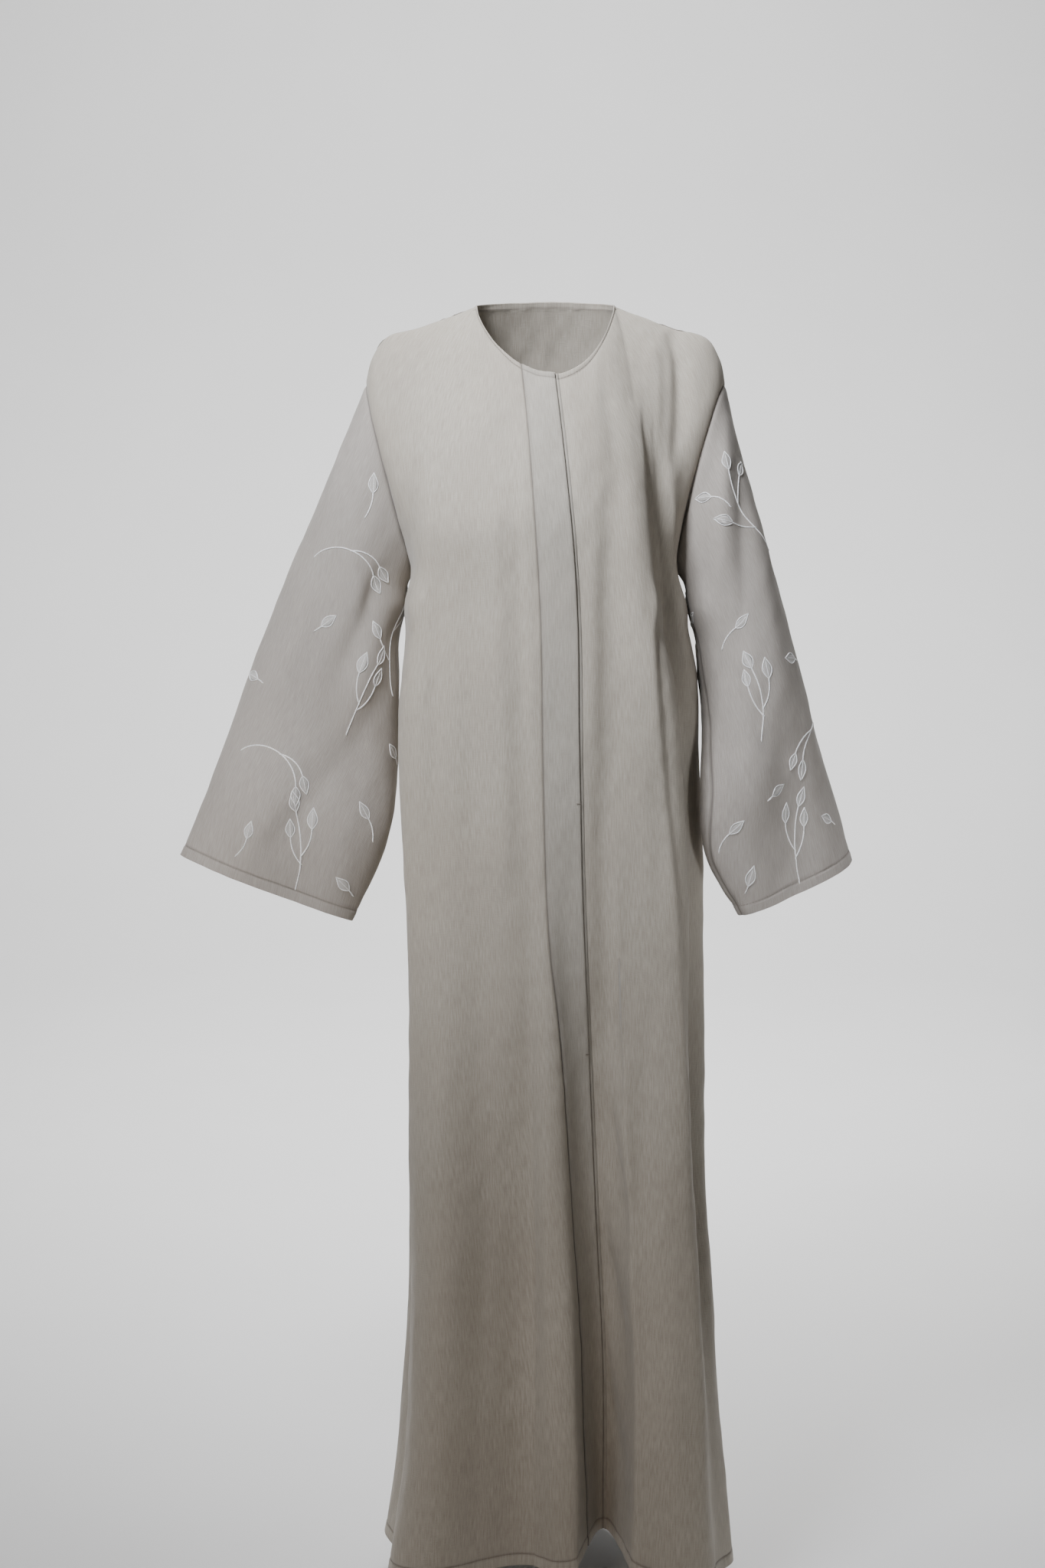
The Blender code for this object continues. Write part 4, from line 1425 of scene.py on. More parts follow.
def cloth_shell(name: str, patch: Patch, thickness: float, material: Any) -> Any:
    """Return a thin closed shell of cloth under a patch, with its flat places as a UV map.

    Args:
        name: the piece's name.
        patch: the outer surface.
        thickness: the cloth's thickness.
        material: its finish.

    Returns:
        The piece.
    """
    rows, columns = patch.points.shape[:2]
    skin = rows * columns
    inner = patch.points - thickness * patch.normals
    points = np.concatenate([patch.points.reshape(-1, 3), inner.reshape(-1, 3)])
    last = columns if patch.loop else columns - 1
    row, column = np.meshgrid(np.arange(rows - 1), np.arange(last), indexing="ij")
    row, column = row.ravel(), column.ravel()
    beside = (column + 1) % columns
    outer = np.stack([row * columns + column, row * columns + beside], axis=1)
    outer = np.concatenate([outer, outer[:, ::-1] + columns], axis=1)
    places = np.stack([[row, column], [row, column + 1], [row + 1, column + 1], [row + 1, column]], axis=0)
    flat = patch.flat[places[:, 0], places[:, 1]].transpose(1, 0, 2)
    faces = [outer, outer[:, ::-1] + skin]
    corners = [flat, flat[:, ::-1]]

    def rim(first: Array, second: Array, at: Array, to: Array) -> None:
        """Close the rim along an edge that runs first to second."""
        faces.append(np.stack([second, first, first + skin, second + skin], axis=1))
        corners.append(np.stack([to, at, at, to], axis=1))

    across = np.arange(last)
    following = (across + 1) % columns
    top = (rows - 1) * columns
    rim(across, following, patch.flat[0, across], patch.flat[0, across + 1])
    rim(following + top, across + top, patch.flat[-1, across + 1], patch.flat[-1, across])
    if not patch.loop:
        up = np.arange(rows - 1)
        end = columns - 1
        rim((up + 1) * columns, up * columns, patch.flat[up + 1, 0], patch.flat[up, 0])
        rim(up * columns + end, (up + 1) * columns + end, patch.flat[up, end], patch.flat[up + 1, end])
    piece = new_piece(name, points, np.concatenate(faces).tolist(), material)
    layer = piece.data.uv_layers.new(name=CLOTH_UV)
    layer.data.foreach_set("uv", np.concatenate(corners).reshape(-1))
    # Each point's painted seam shade goes on as an attribute for the material
    lines = piece.data.attributes.new(PAINTED_SEAM_SHADE, "FLOAT", "POINT")
    lines.data.foreach_set("value", np.tile(patch.lines.reshape(-1), 2).astype(np.float32))
    return piece


# Sub-assemblies

ROOT = "root"
LEVELS = ("lower", "middle", "upper")


def dress_cloth(
    name: str, patch: Patch, thickness: float, finish: ClothFinish, nodes: list[str]
) -> Any:
    """Args:
        name: the piece's name without its ending.
        patch: its outer surface.
        thickness: the cloth's thickness.
        finish: its finish.
        nodes: the CAD nodes it stands for.

    Returns:
        The piece.
    """
    piece = cloth_shell(f"{name}_cloth", patch, thickness, material_of(finish))
    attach(piece, ROOT)
    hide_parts(*nodes)
    return piece


@dataclass
class Panels:
    """The back and the two fronts, cut in one length from shoulder to hem."""

    shapes: ClothShapes
    finish: ClothFinish = PANEL_CLOTH
    thickness: float = 0.0010
    underlap_step: float = 0.0017
    underlap_ease: float = 0.018
    opening_end: float = -0.832
    closing_length: float = 0.03
    closed_less: float = 0.28
    slot: str = "cloth"

    def patches(self) -> dict[str, Patch]:
        """Return the three panels' outer surfaces by name.

        Returns:
            A patch for each name.
        """
        shapes, everything = self.shapes, slice(None)
        return {
            "back": shapes.back,
            "front_right": shapes.front.part(everything, slice(0, shapes.closure + 1)),
            "front_left": self.left_front(),
        }

    def closed(self, points: Array) -> Array:
        """Return how far the front is sewn shut at each point: 0 above the bar tack, 1 well below."""
        return ease((self.opening_end - points[..., 2]) / self.closing_length)

    def left_front(self) -> Patch:
        """Return the left front, which runs on behind the placket and comes forward beyond it.

        Returns:
            The patch.
        """
        shapes = self.shapes
        under = slice(shapes.closure - shapes.columns_band, None)
        patch = shapes.front.part(slice(None), under)
        step = self.underlap_step * (1 - ease(shapes.from_closure[under] / self.underlap_ease))
        # Painted shadow of the placket's free edge on the left front, beside the closure
        patch.lines = np.maximum(patch.lines, bell(shapes.from_closure[under], shapes.line_width))
        return patch.lifted(-step[None, :] * (1 - self.closed_less * self.closed(patch.points)))

    def dress(self) -> list[Any]:
        """Returns:
            The pieces.
        """
        pieces = []
        for name, patch in self.patches().items():
            nodes = [f"{name}_{level}" for level in LEVELS]
            pieces.append(dress_cloth(name, patch, self.thickness, self.finish, nodes))
        return pieces


@dataclass
class Bands:
    """The placket band on the right front and the underlap band on the left one."""

    shapes: ClothShapes
    panels: Panels
    finish: ClothFinish = BAND_CLOTH
    thickness: float = 0.0003
    gap: float = 0.0003
    placket_wall: float = 0.0012
    underlap_wall: float = 0.0002
    edge_round: float = 0.0016
    edge_height: float = 0.45
    edge_rise: float = 0.55
    closed_less: float = 0.55
    gap_share: float = 1.5
    underlap_show: float = 0.004
    slot: str = "band_cloth"

    def patches(self) -> dict[str, Patch]:
        """Return the bands' outer surfaces by name.

        Returns:
            A patch for each name.
        """
        shapes, count = self.shapes, self.shapes.columns_band
        band = slice(shapes.closure - count, shapes.closure + 1)
        placket = shapes.front.part(slice(None), band)
        wide = int(np.searchsorted(shapes.from_closure, self.underlap_show)) - (shapes.closure - count)
        underlap = self.panels.left_front().part(slice(None), slice(0, wide + 1))
        return {
            "placket_band": self.raised(placket, self.placket_wall),
            "underlap_band": self.raised(underlap, self.underlap_wall),
        }

    def raised(self, patch: Patch, wall: float) -> Patch:
        """Return a band of a height lying on a patch, lower where it is sewn down.

        Args:
            patch: the cloth under the band.
            wall: the band's height.

        Returns:
            The band's outer surface.
        """
        across = arc_lengths(patch.points, 1)
        edge = np.minimum(across, across[:, -1:] - across)
        height = wall * (self.edge_height + self.edge_rise * ease(edge / self.edge_round))
        height = height * (1 - self.closed_less * self.panels.closed(patch.points))
        return patch.lifted(min(self.gap, self.gap_share * wall) + height)

    def dress(self) -> list[Any]:
        """Returns:
            The pieces.
        """
        return [
            dress_cloth(name, patch, self.thickness, self.finish, [name])
            for name, patch in self.patches().items()
        ]


@dataclass
class Sleeves:
    """The two wide sleeves, each sewn into a tube along its underarm seam."""

    shapes: ClothShapes
    finish: ClothFinish = SLEEVE_CLOTH
    thickness: float = 0.0010
    slot: str = "sleeve_cloth"

    def dress(self) -> list[Any]:
        """Returns:
            The pieces.
        """
        return [
            dress_cloth(name, self.shapes.sleeves[side], self.thickness, self.finish, [name])
            for side, name in ((1, "sleeve_left"), (-1, "sleeve_right"))
        ]


@dataclass
class StitchRun:
    """Thread stitches set one after another along lines on the cloth, with Geometry Nodes."""

    name: str
    finish: ThreadFinish
    slot: str
    pitch: float = 0.0036
    length: float = 0.0029
    width: float = 0.0006
    tilt: float = 0.0
    seed: int = 5
    lines: list[tuple[Array, Array]] = field(default_factory=list)

    def add(self, points: Array, normals: Array) -> None:
        """Add one line of stitches."""
        self.lines.append((points, normals))

    def guide(self) -> Any:
        """Return the lines as a mesh of edges that carries the cloth's normals.

        Returns:
            The mesh's object.
        """
        points = np.concatenate([line for line, _ in self.lines])
        normals = np.concatenate([line for _, line in self.lines])
        edges, start = [], 0
        for line, _ in self.lines:
            edges += [(start + i, start + i + 1) for i in range(len(line) - 1)]
            start += len(line)
        mesh = bpy.data.meshes.new(self.name)
        mesh.from_pydata(points.tolist(), edges, [])
        lie = mesh.attributes.new("lie", "FLOAT_VECTOR", "POINT")
        lie.data.foreach_set("vector", normals.reshape(-1))
        guide = bpy.data.objects.new(self.name, mesh)
        bpy.context.scene.collection.objects.link(guide)
        return guide

    def tree(self) -> Any:
        """Return the node tree that sets the stitches.

        Returns:
            The node tree.
        """
        tree = bpy.data.node_groups.new(f"{self.name}_nodes", "GeometryNodeTree")
        face = tree.interface
        face.new_socket("Geometry", in_out="INPUT", socket_type="NodeSocketGeometry")
        for label in ("Pitch", "Length", "Width", "Tilt"):
            face.new_socket(label, in_out="INPUT", socket_type="NodeSocketFloat")
        face.new_socket("Material", in_out="INPUT", socket_type="NodeSocketMaterial")
        face.new_socket("Geometry", in_out="OUTPUT", socket_type="NodeSocketGeometry")
        given = add_node(tree, "NodeGroupInput").outputs
        curve = add_node(tree, "GeometryNodeMeshToCurve", i0=given["Geometry"]).outputs[0]
        settings = {"mode": "LENGTH"}
        spaced = add_node(tree, "GeometryNodeResampleCurve", settings, Curve=curve, Length=given["Pitch"])
        tangent = add_node(tree, "GeometryNodeInputTangent").outputs[0]
        lie = add_node(tree, "GeometryNodeInputNamedAttribute", {"data_type": "FLOAT_VECTOR"}, Name="lie")
        along_line = add_node(tree, "FunctionNodeAlignRotationToVector", {"axis": "X"}, Vector=tangent)
        settings = {"axis": "Z", "pivot_axis": "X"}
        on_cloth = add_node(
            tree,
            "FunctionNodeAlignRotationToVector",
            settings,
            Rotation=along_line.outputs[0],
            Vector=lie.outputs[0],
        )
        turn = add_node(tree, "ShaderNodeCombineXYZ", Z=given["Tilt"])
        tilted = add_node(
            tree,
            "FunctionNodeRotateRotation",
            {"rotation_space": "LOCAL"},
            i0=on_cloth.outputs[0],
            i1=turn.outputs[0],
        )
        ball = add_node(tree, "GeometryNodeMeshUVSphere", Segments=6, Rings=4, Radius=0.5).outputs[0]
        size = add_node(tree, "ShaderNodeCombineXYZ", X=given["Length"], Y=given["Width"], Z=given["Width"])
        stitch = add_node(tree, "GeometryNodeTransform", Geometry=ball, Scale=size.outputs[0]).outputs[0]
        chance = add_node(tree, "FunctionNodeRandomValue", {"data_type": "FLOAT"}, Seed=self.seed)
        chance.inputs[2].default_value = 0.88
        chance.inputs[3].default_value = 1.10
        set_out = add_node(
            tree,
            "GeometryNodeInstanceOnPoints",
            Points=spaced.outputs[0],
            Instance=stitch,
            Rotation=tilted.outputs[0],
            Scale=chance.outputs[1],
        )
        real = add_node(tree, "GeometryNodeRealizeInstances", i0=set_out.outputs[0]).outputs[0]
        painted = add_node(tree, "GeometryNodeSetMaterial", Geometry=real, Material=given["Material"])
        add_node(tree, "NodeGroupOutput", i0=painted.outputs[0])
        return tree

    def dress(self) -> list[Any]:
        """Build all the stitches as one piece.

        Returns:
            The piece, in a list.
        """
        guide = self.guide()
        modifier = guide.modifiers.new("stitches", "NODES")
        modifier.node_group = self.tree()
        material = material_of(self.finish)
        values = {
            "Pitch": self.pitch,
            "Length": self.length,
            "Width": self.width,
            "Tilt": float(np.radians(self.tilt)),
            "Material": material,
        }
        for item in modifier.node_group.interface.items_tree:
            if item.in_out == "INPUT" and item.name in values:
                modifier[item.identifier] = values[item.name]
        seen = guide.evaluated_get(bpy.context.evaluated_depsgraph_get())
        mesh = bpy.data.meshes.new_from_object(seen)
        guide.modifiers.clear()
        guide.data = mesh
        mesh.shade_smooth()
        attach(guide, ROOT)
        return [guide]


def line_below(
    patch: Patch, distance: float, columns: slice = slice(None), from_top: bool = False
) -> tuple[Array, Array]:
    """Return points and normals a distance from a patch's lowest or highest edge.

    Args:
        patch: the cloth.
        distance: how far from the edge, in metres.
        columns: which columns to cross.
        from_top: whether the edge is the last row rather than the first.

    Returns:
        Points and normals, one for each column.
    """
    points, normals = patch.points[:, columns], patch.normals[:, columns]
    if from_top:
        points, normals = points[::-1], normals[::-1]
    up = arc_lengths(points, 0)
    count = points.shape[1]
    place = [[np.interp(distance, up[:, i], points[:, i, k]) for k in range(3)] for i in range(count)]
    lie = [[np.interp(distance, up[:, i], normals[:, i, k]) for k in range(3)] for i in range(count)]
    return np.array(place), unit(np.array(lie))


@dataclass
class Sewing:
    """The lines of stitching that show: hems, cuffs, the neckline and the tacks on the placket."""

    shapes: ClothShapes
    panels: Panels
    sink: float = 0.0001
    neck_line: float = 0.0065
    bar_tack: tuple[float, float] = (0.0115, 0.0010)
    small_tack: float = -0.549
    tack_rise: float = 0.4

    def hems(self) -> StitchRun:
        """Return the stitching of the hem, the cuffs and the neckline.

        Returns:
            The run of stitches.
        """
        run = StitchRun("hem_stitching", SEWING_THREAD, "cloth")
        depth = self.shapes.hem_line
        patches = self.panels.patches()
        covered = self.shapes.columns_band
        spans = {
            "back": slice(None),
            "front_right": slice(None),
            "front_left": slice(covered + 2, None),
        }
        for name, span in spans.items():
            points, normals = line_below(patches[name], depth, span)
            run.add(points + normals * self.sink, normals)
        for sleeve in self.shapes.sleeves.values():
            points, normals = line_below(sleeve, depth, from_top=True)
            points, normals = (np.concatenate([part, part[:1]]) for part in (points, normals))
            run.add(points + normals * self.sink, normals)
        inner = self.shapes.seam_columns
        neck = slice(inner, -inner)
        points, normals = line_below(self.shapes.back, self.neck_line, neck, True)
        run.add(points + normals * self.sink, normals)
        right = slice(inner, -self.shapes.columns_band)
        points, normals = line_below(patches["front_right"], self.neck_line, right, True)
        run.add(points + normals * self.sink, normals)
        left = slice(covered + 2, -inner)
        points, normals = line_below(patches["front_left"], self.neck_line, left, True)
        run.add(points + normals * self.sink, normals)
        return run

    def tacks(self, placket: Patch) -> StitchRun:
        """Return the bar tack where the opening ends and the small tack above it.

        Args:
            placket: the patch whose edge is tacked.

        Returns:
            The run of stitches.
        """
        run = StitchRun("placket_tacks", SEWING_THREAD, "band_cloth", 0.0009, 0.0022, 0.0008, 90.0)
        edge_points, edge_normals = placket.points[:, -3:], placket.normals[:, -3:]
        reach, lift = self.bar_tack
        for height, width in ((self.panels.opening_end, reach), (self.small_tack, reach / 2)):
            row = int(np.abs(edge_points[:, -1, 2] - height).argmin())
            line = edge_points[row, ::-1]
            share = np.clip(np.linspace(0.0, width, 12) / np.linalg.norm(line[0] - line[-1]), 0, 1)
            points = line[0] + (line[-1] - line[0]) * share[:, None]
            lie = np.repeat(edge_normals[row, -1:], len(points), axis=0)
            run.add(points + lie * lift * self.tack_rise, lie)
        return run

    def dress(self) -> list[Any]:
        """Build all the stitching."""
        bands = Bands(self.shapes, self.panels).patches()
        return self.hems().dress() + self.tacks(bands["placket_band"]).dress()


class Stem(NamedTuple):
    """One stem of a sprig: where it leaves the first one, its turn, length and curl, and its leaf's size."""

    start: float
    angle: float
    length: float
    curl: float
    leaf: float


class SprigKind(Enum):
    """The stems of a sprig. The first one carries the others."""

    TRIO = (
        Stem(0.0, 0.0, 0.084, -24.0, 1.0),
        Stem(0.34, -44.0, 0.034, 40.0, 0.90),
        Stem(0.44, 40.0, 0.036, -38.0, 1.0),
    )
    PAIR = (Stem(0.0, 0.0, 0.086, 116.0, 1.0), Stem(0.56, -26.0, 0.038, 62.0, 0.95))
    SPRAY = (
        Stem(0.0, 0.0, 0.112, -66.0, 1.0),
        Stem(0.36, 44.0, 0.030, -18.0, 1.0),
        Stem(0.66, -32.0, 0.034, -20.0, 0.9),
    )
    BUD = (Stem(0.0, 0.0, 0.026, 34.0, 0.95),)
    LEAF = (Stem(0.0, 0.0, 0.008, 10.0, 1.0),)


class Sprig(NamedTuple):
    """One sprig of embroidery: where it is rooted, which way it grows, its kind and its hand.

    Round is the share of the way round from the overarm line. It runs by the front on the wearer's
    left sleeve and by the back on the right one, so the two sleeves aren't twins. The heading is in
    degrees from straight up the sleeve, turning onwards round it. A hand of -1 mirrors the sprig.
    """

    place: float
    round: float
    heading: float
    kind: SprigKind
    hand: int = 1


TRIO, PAIR, SPRAY, BUD, LEAF = SprigKind

# Laid out one by one: close together at the cuff and few near the armhole, all round the sleeve
SPRIGS = (
    Sprig(0.972, 0.290, -8, TRIO),
    Sprig(0.930, 0.445, -52, LEAF),
    Sprig(0.900, 0.110, 40, LEAF),
    Sprig(0.705, 0.035, 48, PAIR),
    Sprig(0.775, 0.465, -14, BUD, -1),
    Sprig(0.700, 0.330, -74, LEAF),
    Sprig(0.560, 0.330, -18, TRIO, -1),
    Sprig(0.540, 0.110, 60, LEAF),
    Sprig(0.345, 0.060, 50, SPRAY),
    Sprig(0.310, 0.380, -36, BUD, -1),
    Sprig(0.150, 0.190, 16, BUD),
    Sprig(0.975, 0.690, 10, TRIO, -1),
    Sprig(0.940, 0.560, 58, LEAF),
    Sprig(0.950, 0.850, -30, BUD),
    Sprig(0.750, 0.925, -40, PAIR, -1),
    Sprig(0.800, 0.575, 22, BUD),
    Sprig(0.600, 0.720, -6, TRIO),
    Sprig(0.610, 0.945, 74, LEAF),
    Sprig(0.590, 0.560, 36, LEAF),
    Sprig(0.400, 0.590, 18, SPRAY),
    Sprig(0.440, 0.850, -50, LEAF),
    Sprig(0.330, 0.910, -36, PAIR, -1),
    Sprig(0.120, 0.770, -10, BUD),
)


@dataclass
class SleeveSurface:
    """Reads a finished sleeve by place, and by share of the way round it from the overarm line."""

    patch: Patch
    side: int
    places: Array
    reach: float = 0.004
    cuff: float = 0.9995
    rings: Array = field(init=False)
    ring_normals: Array = field(init=False)
    shares: Array = field(init=False)

    def __post_init__(self) -> None:
        """Measure the way round each ring from the overarm line."""
        half = self.patch.points.shape[1] // 2
        order = (half - self.side * np.arange(2 * half + 1)) % (2 * half)
        self.rings = self.patch.points[:, order]
        self.ring_normals = self.patch.normals[:, order]
        if self.side > 0:
            self.rings, self.ring_normals = self.rings[:, ::-1], self.ring_normals[:, ::-1]
        lengths = arc_lengths(self.rings, 1)
        self.shares = lengths / lengths[:, -1:]

    def read_one(self, place: float, share: float) -> tuple[Array, Array]:
        """Return the point and normal at one place and share.

        Args:
            place: how far from the armhole (0) to the cuff (1).
            share: how far round.

        Returns:
            The point and the unit normal.
        """
        row = float(np.interp(place, self.places, np.arange(len(self.places))))
        low = min(int(row), len(self.places) - 2)
        found = []
        for grid in (self.rings, self.ring_normals):
            ends = [self.read_ring(grid, i, share % 1.0) for i in (low, low + 1)]
            found.append(ends[0] * (1 - row + low) + ends[1] * (row - low))
        return found[0], unit(found[1])

    def read_ring(self, grid: Array, ring: int, share: float) -> Array:
        """Return a grid's value at a share of the way round one ring."""
        return np.array([np.interp(share, self.shares[ring], grid[ring, :, k]) for k in range(3)])

    def read(self, places: Array, shares: Array) -> tuple[Array, Array]:
        """Return points and normals at places and shares."""
        pairs = [self.read_one(place, share) for place, share in zip(np.clip(places, 0.0, self.cuff), shares)]
        return np.array([point for point, _ in pairs]), np.array([normal for _, normal in pairs])

    def steps(self, place: float, share: float) -> Array:
        """Return the change of place and share for a metre up the sleeve and a metre onwards round it.

        Args:
            place: how far from the armhole (0) to the cuff (1).
            share: how far round.

        Returns:
            A matrix with a column for each of the two ways.
        """
        place = float(np.clip(place, self.reach, self.cuff - self.reach))
        below, above = (self.read_one(place + step, share)[0] for step in (self.reach, -self.reach))
        ahead, behind = (self.read_one(place, share + step)[0] for step in (self.reach, -self.reach))
        down, forward = (below - above) / (2 * self.reach), (ahead - behind) / (2 * self.reach)
        normal = self.read_one(place, share)[1]
        up = unit(-down + normal * (down @ normal))
        sideways = np.cross(normal, up)
        sideways = sideways * np.sign(sideways @ forward)
        return np.linalg.pinv(np.stack([down, forward], axis=1)) @ np.stack([up, sideways], axis=1)


@dataclass
class Strips:
    """Closed strips of thread, each a row of rings with capped ends, gathered into one mesh."""

    points: list[Array] = field(default_factory=list)
    flat: list[Array] = field(default_factory=list)
    faces: list[list[int]] = field(default_factory=list)
    count: int = 0

    def add(self, rings: Array, flat: Array) -> None:
        """Add one strip.

        Args:
            rings: rows of rings of points, turning from the side to the outward direction.
            flat: the flat place of each point.
        """
        rows, sides = rings.shape[:2]
        row, column = np.meshgrid(np.arange(rows - 1), np.arange(sides), indexing="ij")
        first = (row * sides + column).ravel()
        second = (row * sides + (column + 1) % sides).ravel()
        walls = np.stack([first, first + sides, second + sides, second], axis=1)
        cap = np.arange(sides)
        last = cap[::-1] + (rows - 1) * sides
        self.faces += (walls + self.count).tolist()
        self.faces += [(cap + self.count).tolist(), (last + self.count).tolist()]
        self.points.append(rings.reshape(-1, 3))
        self.flat.append(flat.reshape(-1, 2))
        self.count += rows * sides

    def piece(self, name: str, material: Any) -> Any:
        """Return the strips as one piece with their flat places as a UV map.

        Args:
            name: the piece's name.
            material: its material.

        Returns:
            The piece.
        """
        piece = new_piece(name, np.concatenate(self.points), self.faces, material)
        corners = np.concatenate([np.array(face) for face in self.faces])
        layer = piece.data.uv_layers.new(name=CLOTH_UV)
        layer.data.foreach_set("uv", np.concatenate(self.flat)[corners].reshape(-1))
        return piece


@dataclass
class Embroidery:
    """Leaf sprigs in satin thread on one sleeve, raised above the cloth."""

    surface: SleeveSurface
    leaf_length: float = 0.0245
    leaf_half_width: float = 0.0056
    leaf_steps: int = 13
    leaf_taper: float = 0.84
    leaf_point: float = 1.3
    leaf_narrowest: float = 0.02
    vein_share: float = 0.8
    vein_height: float = 0.6
    pad: float = 0.0007
    # The places across a pad and its heights there, over the top and back underneath
    pad_section: tuple[tuple[float, float], ...] = (
        *((1, 0.1), (0.5, 0.85), (0, 0.7)),
        *((-0.5, 0.85), (-1, 0.1), (0, -0.3)),
    )
    outline: float = 0.00062
    vein: float = 0.00035
    cord_sides: int = 5
    cord_sink: float = 0.0002
    cord_point: float = 0.3
    stem_pitch: float = 0.0021
    stem_length: float = 0.0046
    stem_width: float = 0.0014
    stem_tilt: float = 14.0
    step: float = 0.004
    root_shift: tuple[float, float] = (-0.006, 0.003)
    root_turn: float = 0.012
    stem_change: tuple[float, float] = (0.92, 1.10)
    leaf_change: tuple[float, float] = (0.94, 1.06)
    cords: Strips = field(default_factory=Strips)
    pads: Strips = field(default_factory=Strips)
    leaves: int = 0

    @property
    def name(self) -> str:
        """Return the sleeve's name."""
        return "sleeve_left" if self.surface.side > 0 else "sleeve_right"

    def walk(self, start: Array, heading: float, length: float, curl: float) -> tuple[Array, float]:
        """Follow a curling line over the sleeve.

        Args:
            start: its place and share.
            heading: its first heading in degrees.
            length: its length in metres.
            curl: how far its heading turns over its length.

        Returns:
            Places and shares as rows, and the last heading.
        """
        count = max(3, int(length / self.step))
        line = [np.array(start)]
        for index in range(count):
            way = np.radians(heading + curl * (index + 0.5) / count)
            ahead = np.array([np.cos(way), np.sin(way)]) * length / count
            line.append(line[-1] + self.surface.steps(*line[-1]) @ ahead)
        return np.array(line), heading + curl

    def lay(self, start: Array, heading: float, along_leaf: Array, across: Array) -> tuple[Array, Array]:
        """Return points and normals on the sleeve at places along and across a leaf.

        Args:
            start: place and share of the leaf's base.
            heading: the leaf's heading in degrees.
            along_leaf: distances along it.
            across: distances across it.

        Returns:
            One point and one normal for each distance.
        """
        way = np.radians(heading)
        up = along_leaf * np.cos(way) - across * np.sin(way)
        sideways = along_leaf * np.sin(way) + across * np.cos(way)
        move = self.surface.steps(*start) @ np.stack([up, sideways])
        return self.surface.read(start[0] + move[0], start[1] + move[1])

    def cord(self, points: Array, normals: Array, radius: float) -> None:
        """Add a round cord along a line on the sleeve, pointed at both ends.

        Args:
            points: the line.
            normals: the sleeve's normals along it.
            radius: the cord's radius.
        """
        forward = unit(np.gradient(points, axis=0))
        side = unit(np.cross(forward, normals))
        size = np.full(len(points), radius)
        size[[0, -1]] *= self.cord_point
        angle = np.arange(self.cord_sides) * 2 * np.pi / self.cord_sides
        ring = np.cos(angle)[None, :, None] * side[:, None] + np.sin(angle)[None, :, None] * normals[:, None]
        middle = points + normals * (radius - self.cord_sink)
        rings = middle[:, None] + ring * size[:, None, None]
        self.cords.add(rings, np.zeros((len(points), self.cord_sides, 2)))

    def leaf(self, start: Array, heading: float, scale: float) -> None:
        """Add one leaf: a low pad of satin rows, a corded outline and a vein.

        Args:
            start: place and share of its base.
            heading: its heading in degrees.
            scale: its size, 1 for the usual leaf.
        """
        t = np.linspace(0.0, 1.0, self.leaf_steps)
        far = t * self.leaf_length * scale
        swell = np.clip(np.sin(np.pi * t**self.leaf_taper), 0.0, 1.0) ** self.leaf_point
        width = self.leaf_half_width * scale * np.maximum(swell, self.leaf_narrowest)
        rows, flat = [], []
        for across, height in self.pad_section:
            points, normals = self.lay(start, heading, far, across * width)
            rows.append(points + normals * self.pad * height)
            flat.append(np.stack([far, across * width], axis=-1))
        rings, flat = np.stack(rows, axis=1), np.stack(flat, axis=1)
        middle = self.leaf_steps // 2
        lie = np.cross(points[middle + 1] - points[middle], normals[middle])
        if (rings[middle, 0] - rings[middle, 4]) @ lie < 0:
            rings, flat = rings[:, ::-1], flat[:, ::-1]
        self.pads.add(rings, flat)
        for side in (-1, 1):
            self.cord(*self.lay(start, heading, far, side * width), self.outline)
        points, normals = self.lay(start, heading, self.vein_share * far, 0 * far)
        self.cord(points + normals * self.pad * self.vein_height, normals, self.vein)
        self.leaves += 1

    def stems(self) -> StitchRun:
        """Add every leaf and return the stems as a run of slanting stitches.

        Returns:
            The run of stitches.
        """
        sizes = (self.stem_pitch, self.stem_length, self.stem_width, self.stem_tilt)
        run = StitchRun(f"{self.name}_stems", SILVER_THREAD, "sleeve_cloth", *sizes, 9)
        chance = np.random.default_rng(40 + self.surface.side)
        for sprig in SPRIGS:
            root = sprig.place + chance.uniform(*self.root_shift)
            main = np.array([(root, sprig.round + self.surface.side * self.root_turn)])
            first = sprig.kind.value[0]
            for stem in sprig.kind.value:
                at = stem.start * (len(main) - 1)
                start = np.array([np.interp(at, np.arange(len(main)), main[:, k]) for k in (0, 1)])
                turn = sprig.heading + sprig.hand * (stem.angle + first.curl * stem.start)
                length = stem.length * chance.uniform(*self.stem_change)
                line, heading = self.walk(start, turn, length, sprig.hand * stem.curl)
                points, normals = self.surface.read(line[:, 0], line[:, 1])
                run.add(points + normals * self.cord_sink, normals)
                if stem is first:
                    main = line
                if stem.leaf:
                    self.leaf(line[-1], heading, stem.leaf * chance.uniform(*self.leaf_change))
        return run

    def dress(self) -> list[Any]:
        """Build the sleeve's embroidery.

        Returns:
            The pieces.
        """
        stems = self.stems().dress()
        cords = self.cords.piece(f"{self.name}_leaf_cords", material_of(SILVER_THREAD))
        pads = self.pads.piece(f"{self.name}_leaf_pads", material_of(SATIN_FILL))
        for piece in (cords, pads):
            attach(piece, ROOT)
        LOG.info("%s: %d leaves", self.name, self.leaves)
        return [*stems, cords, pads]


# Studio


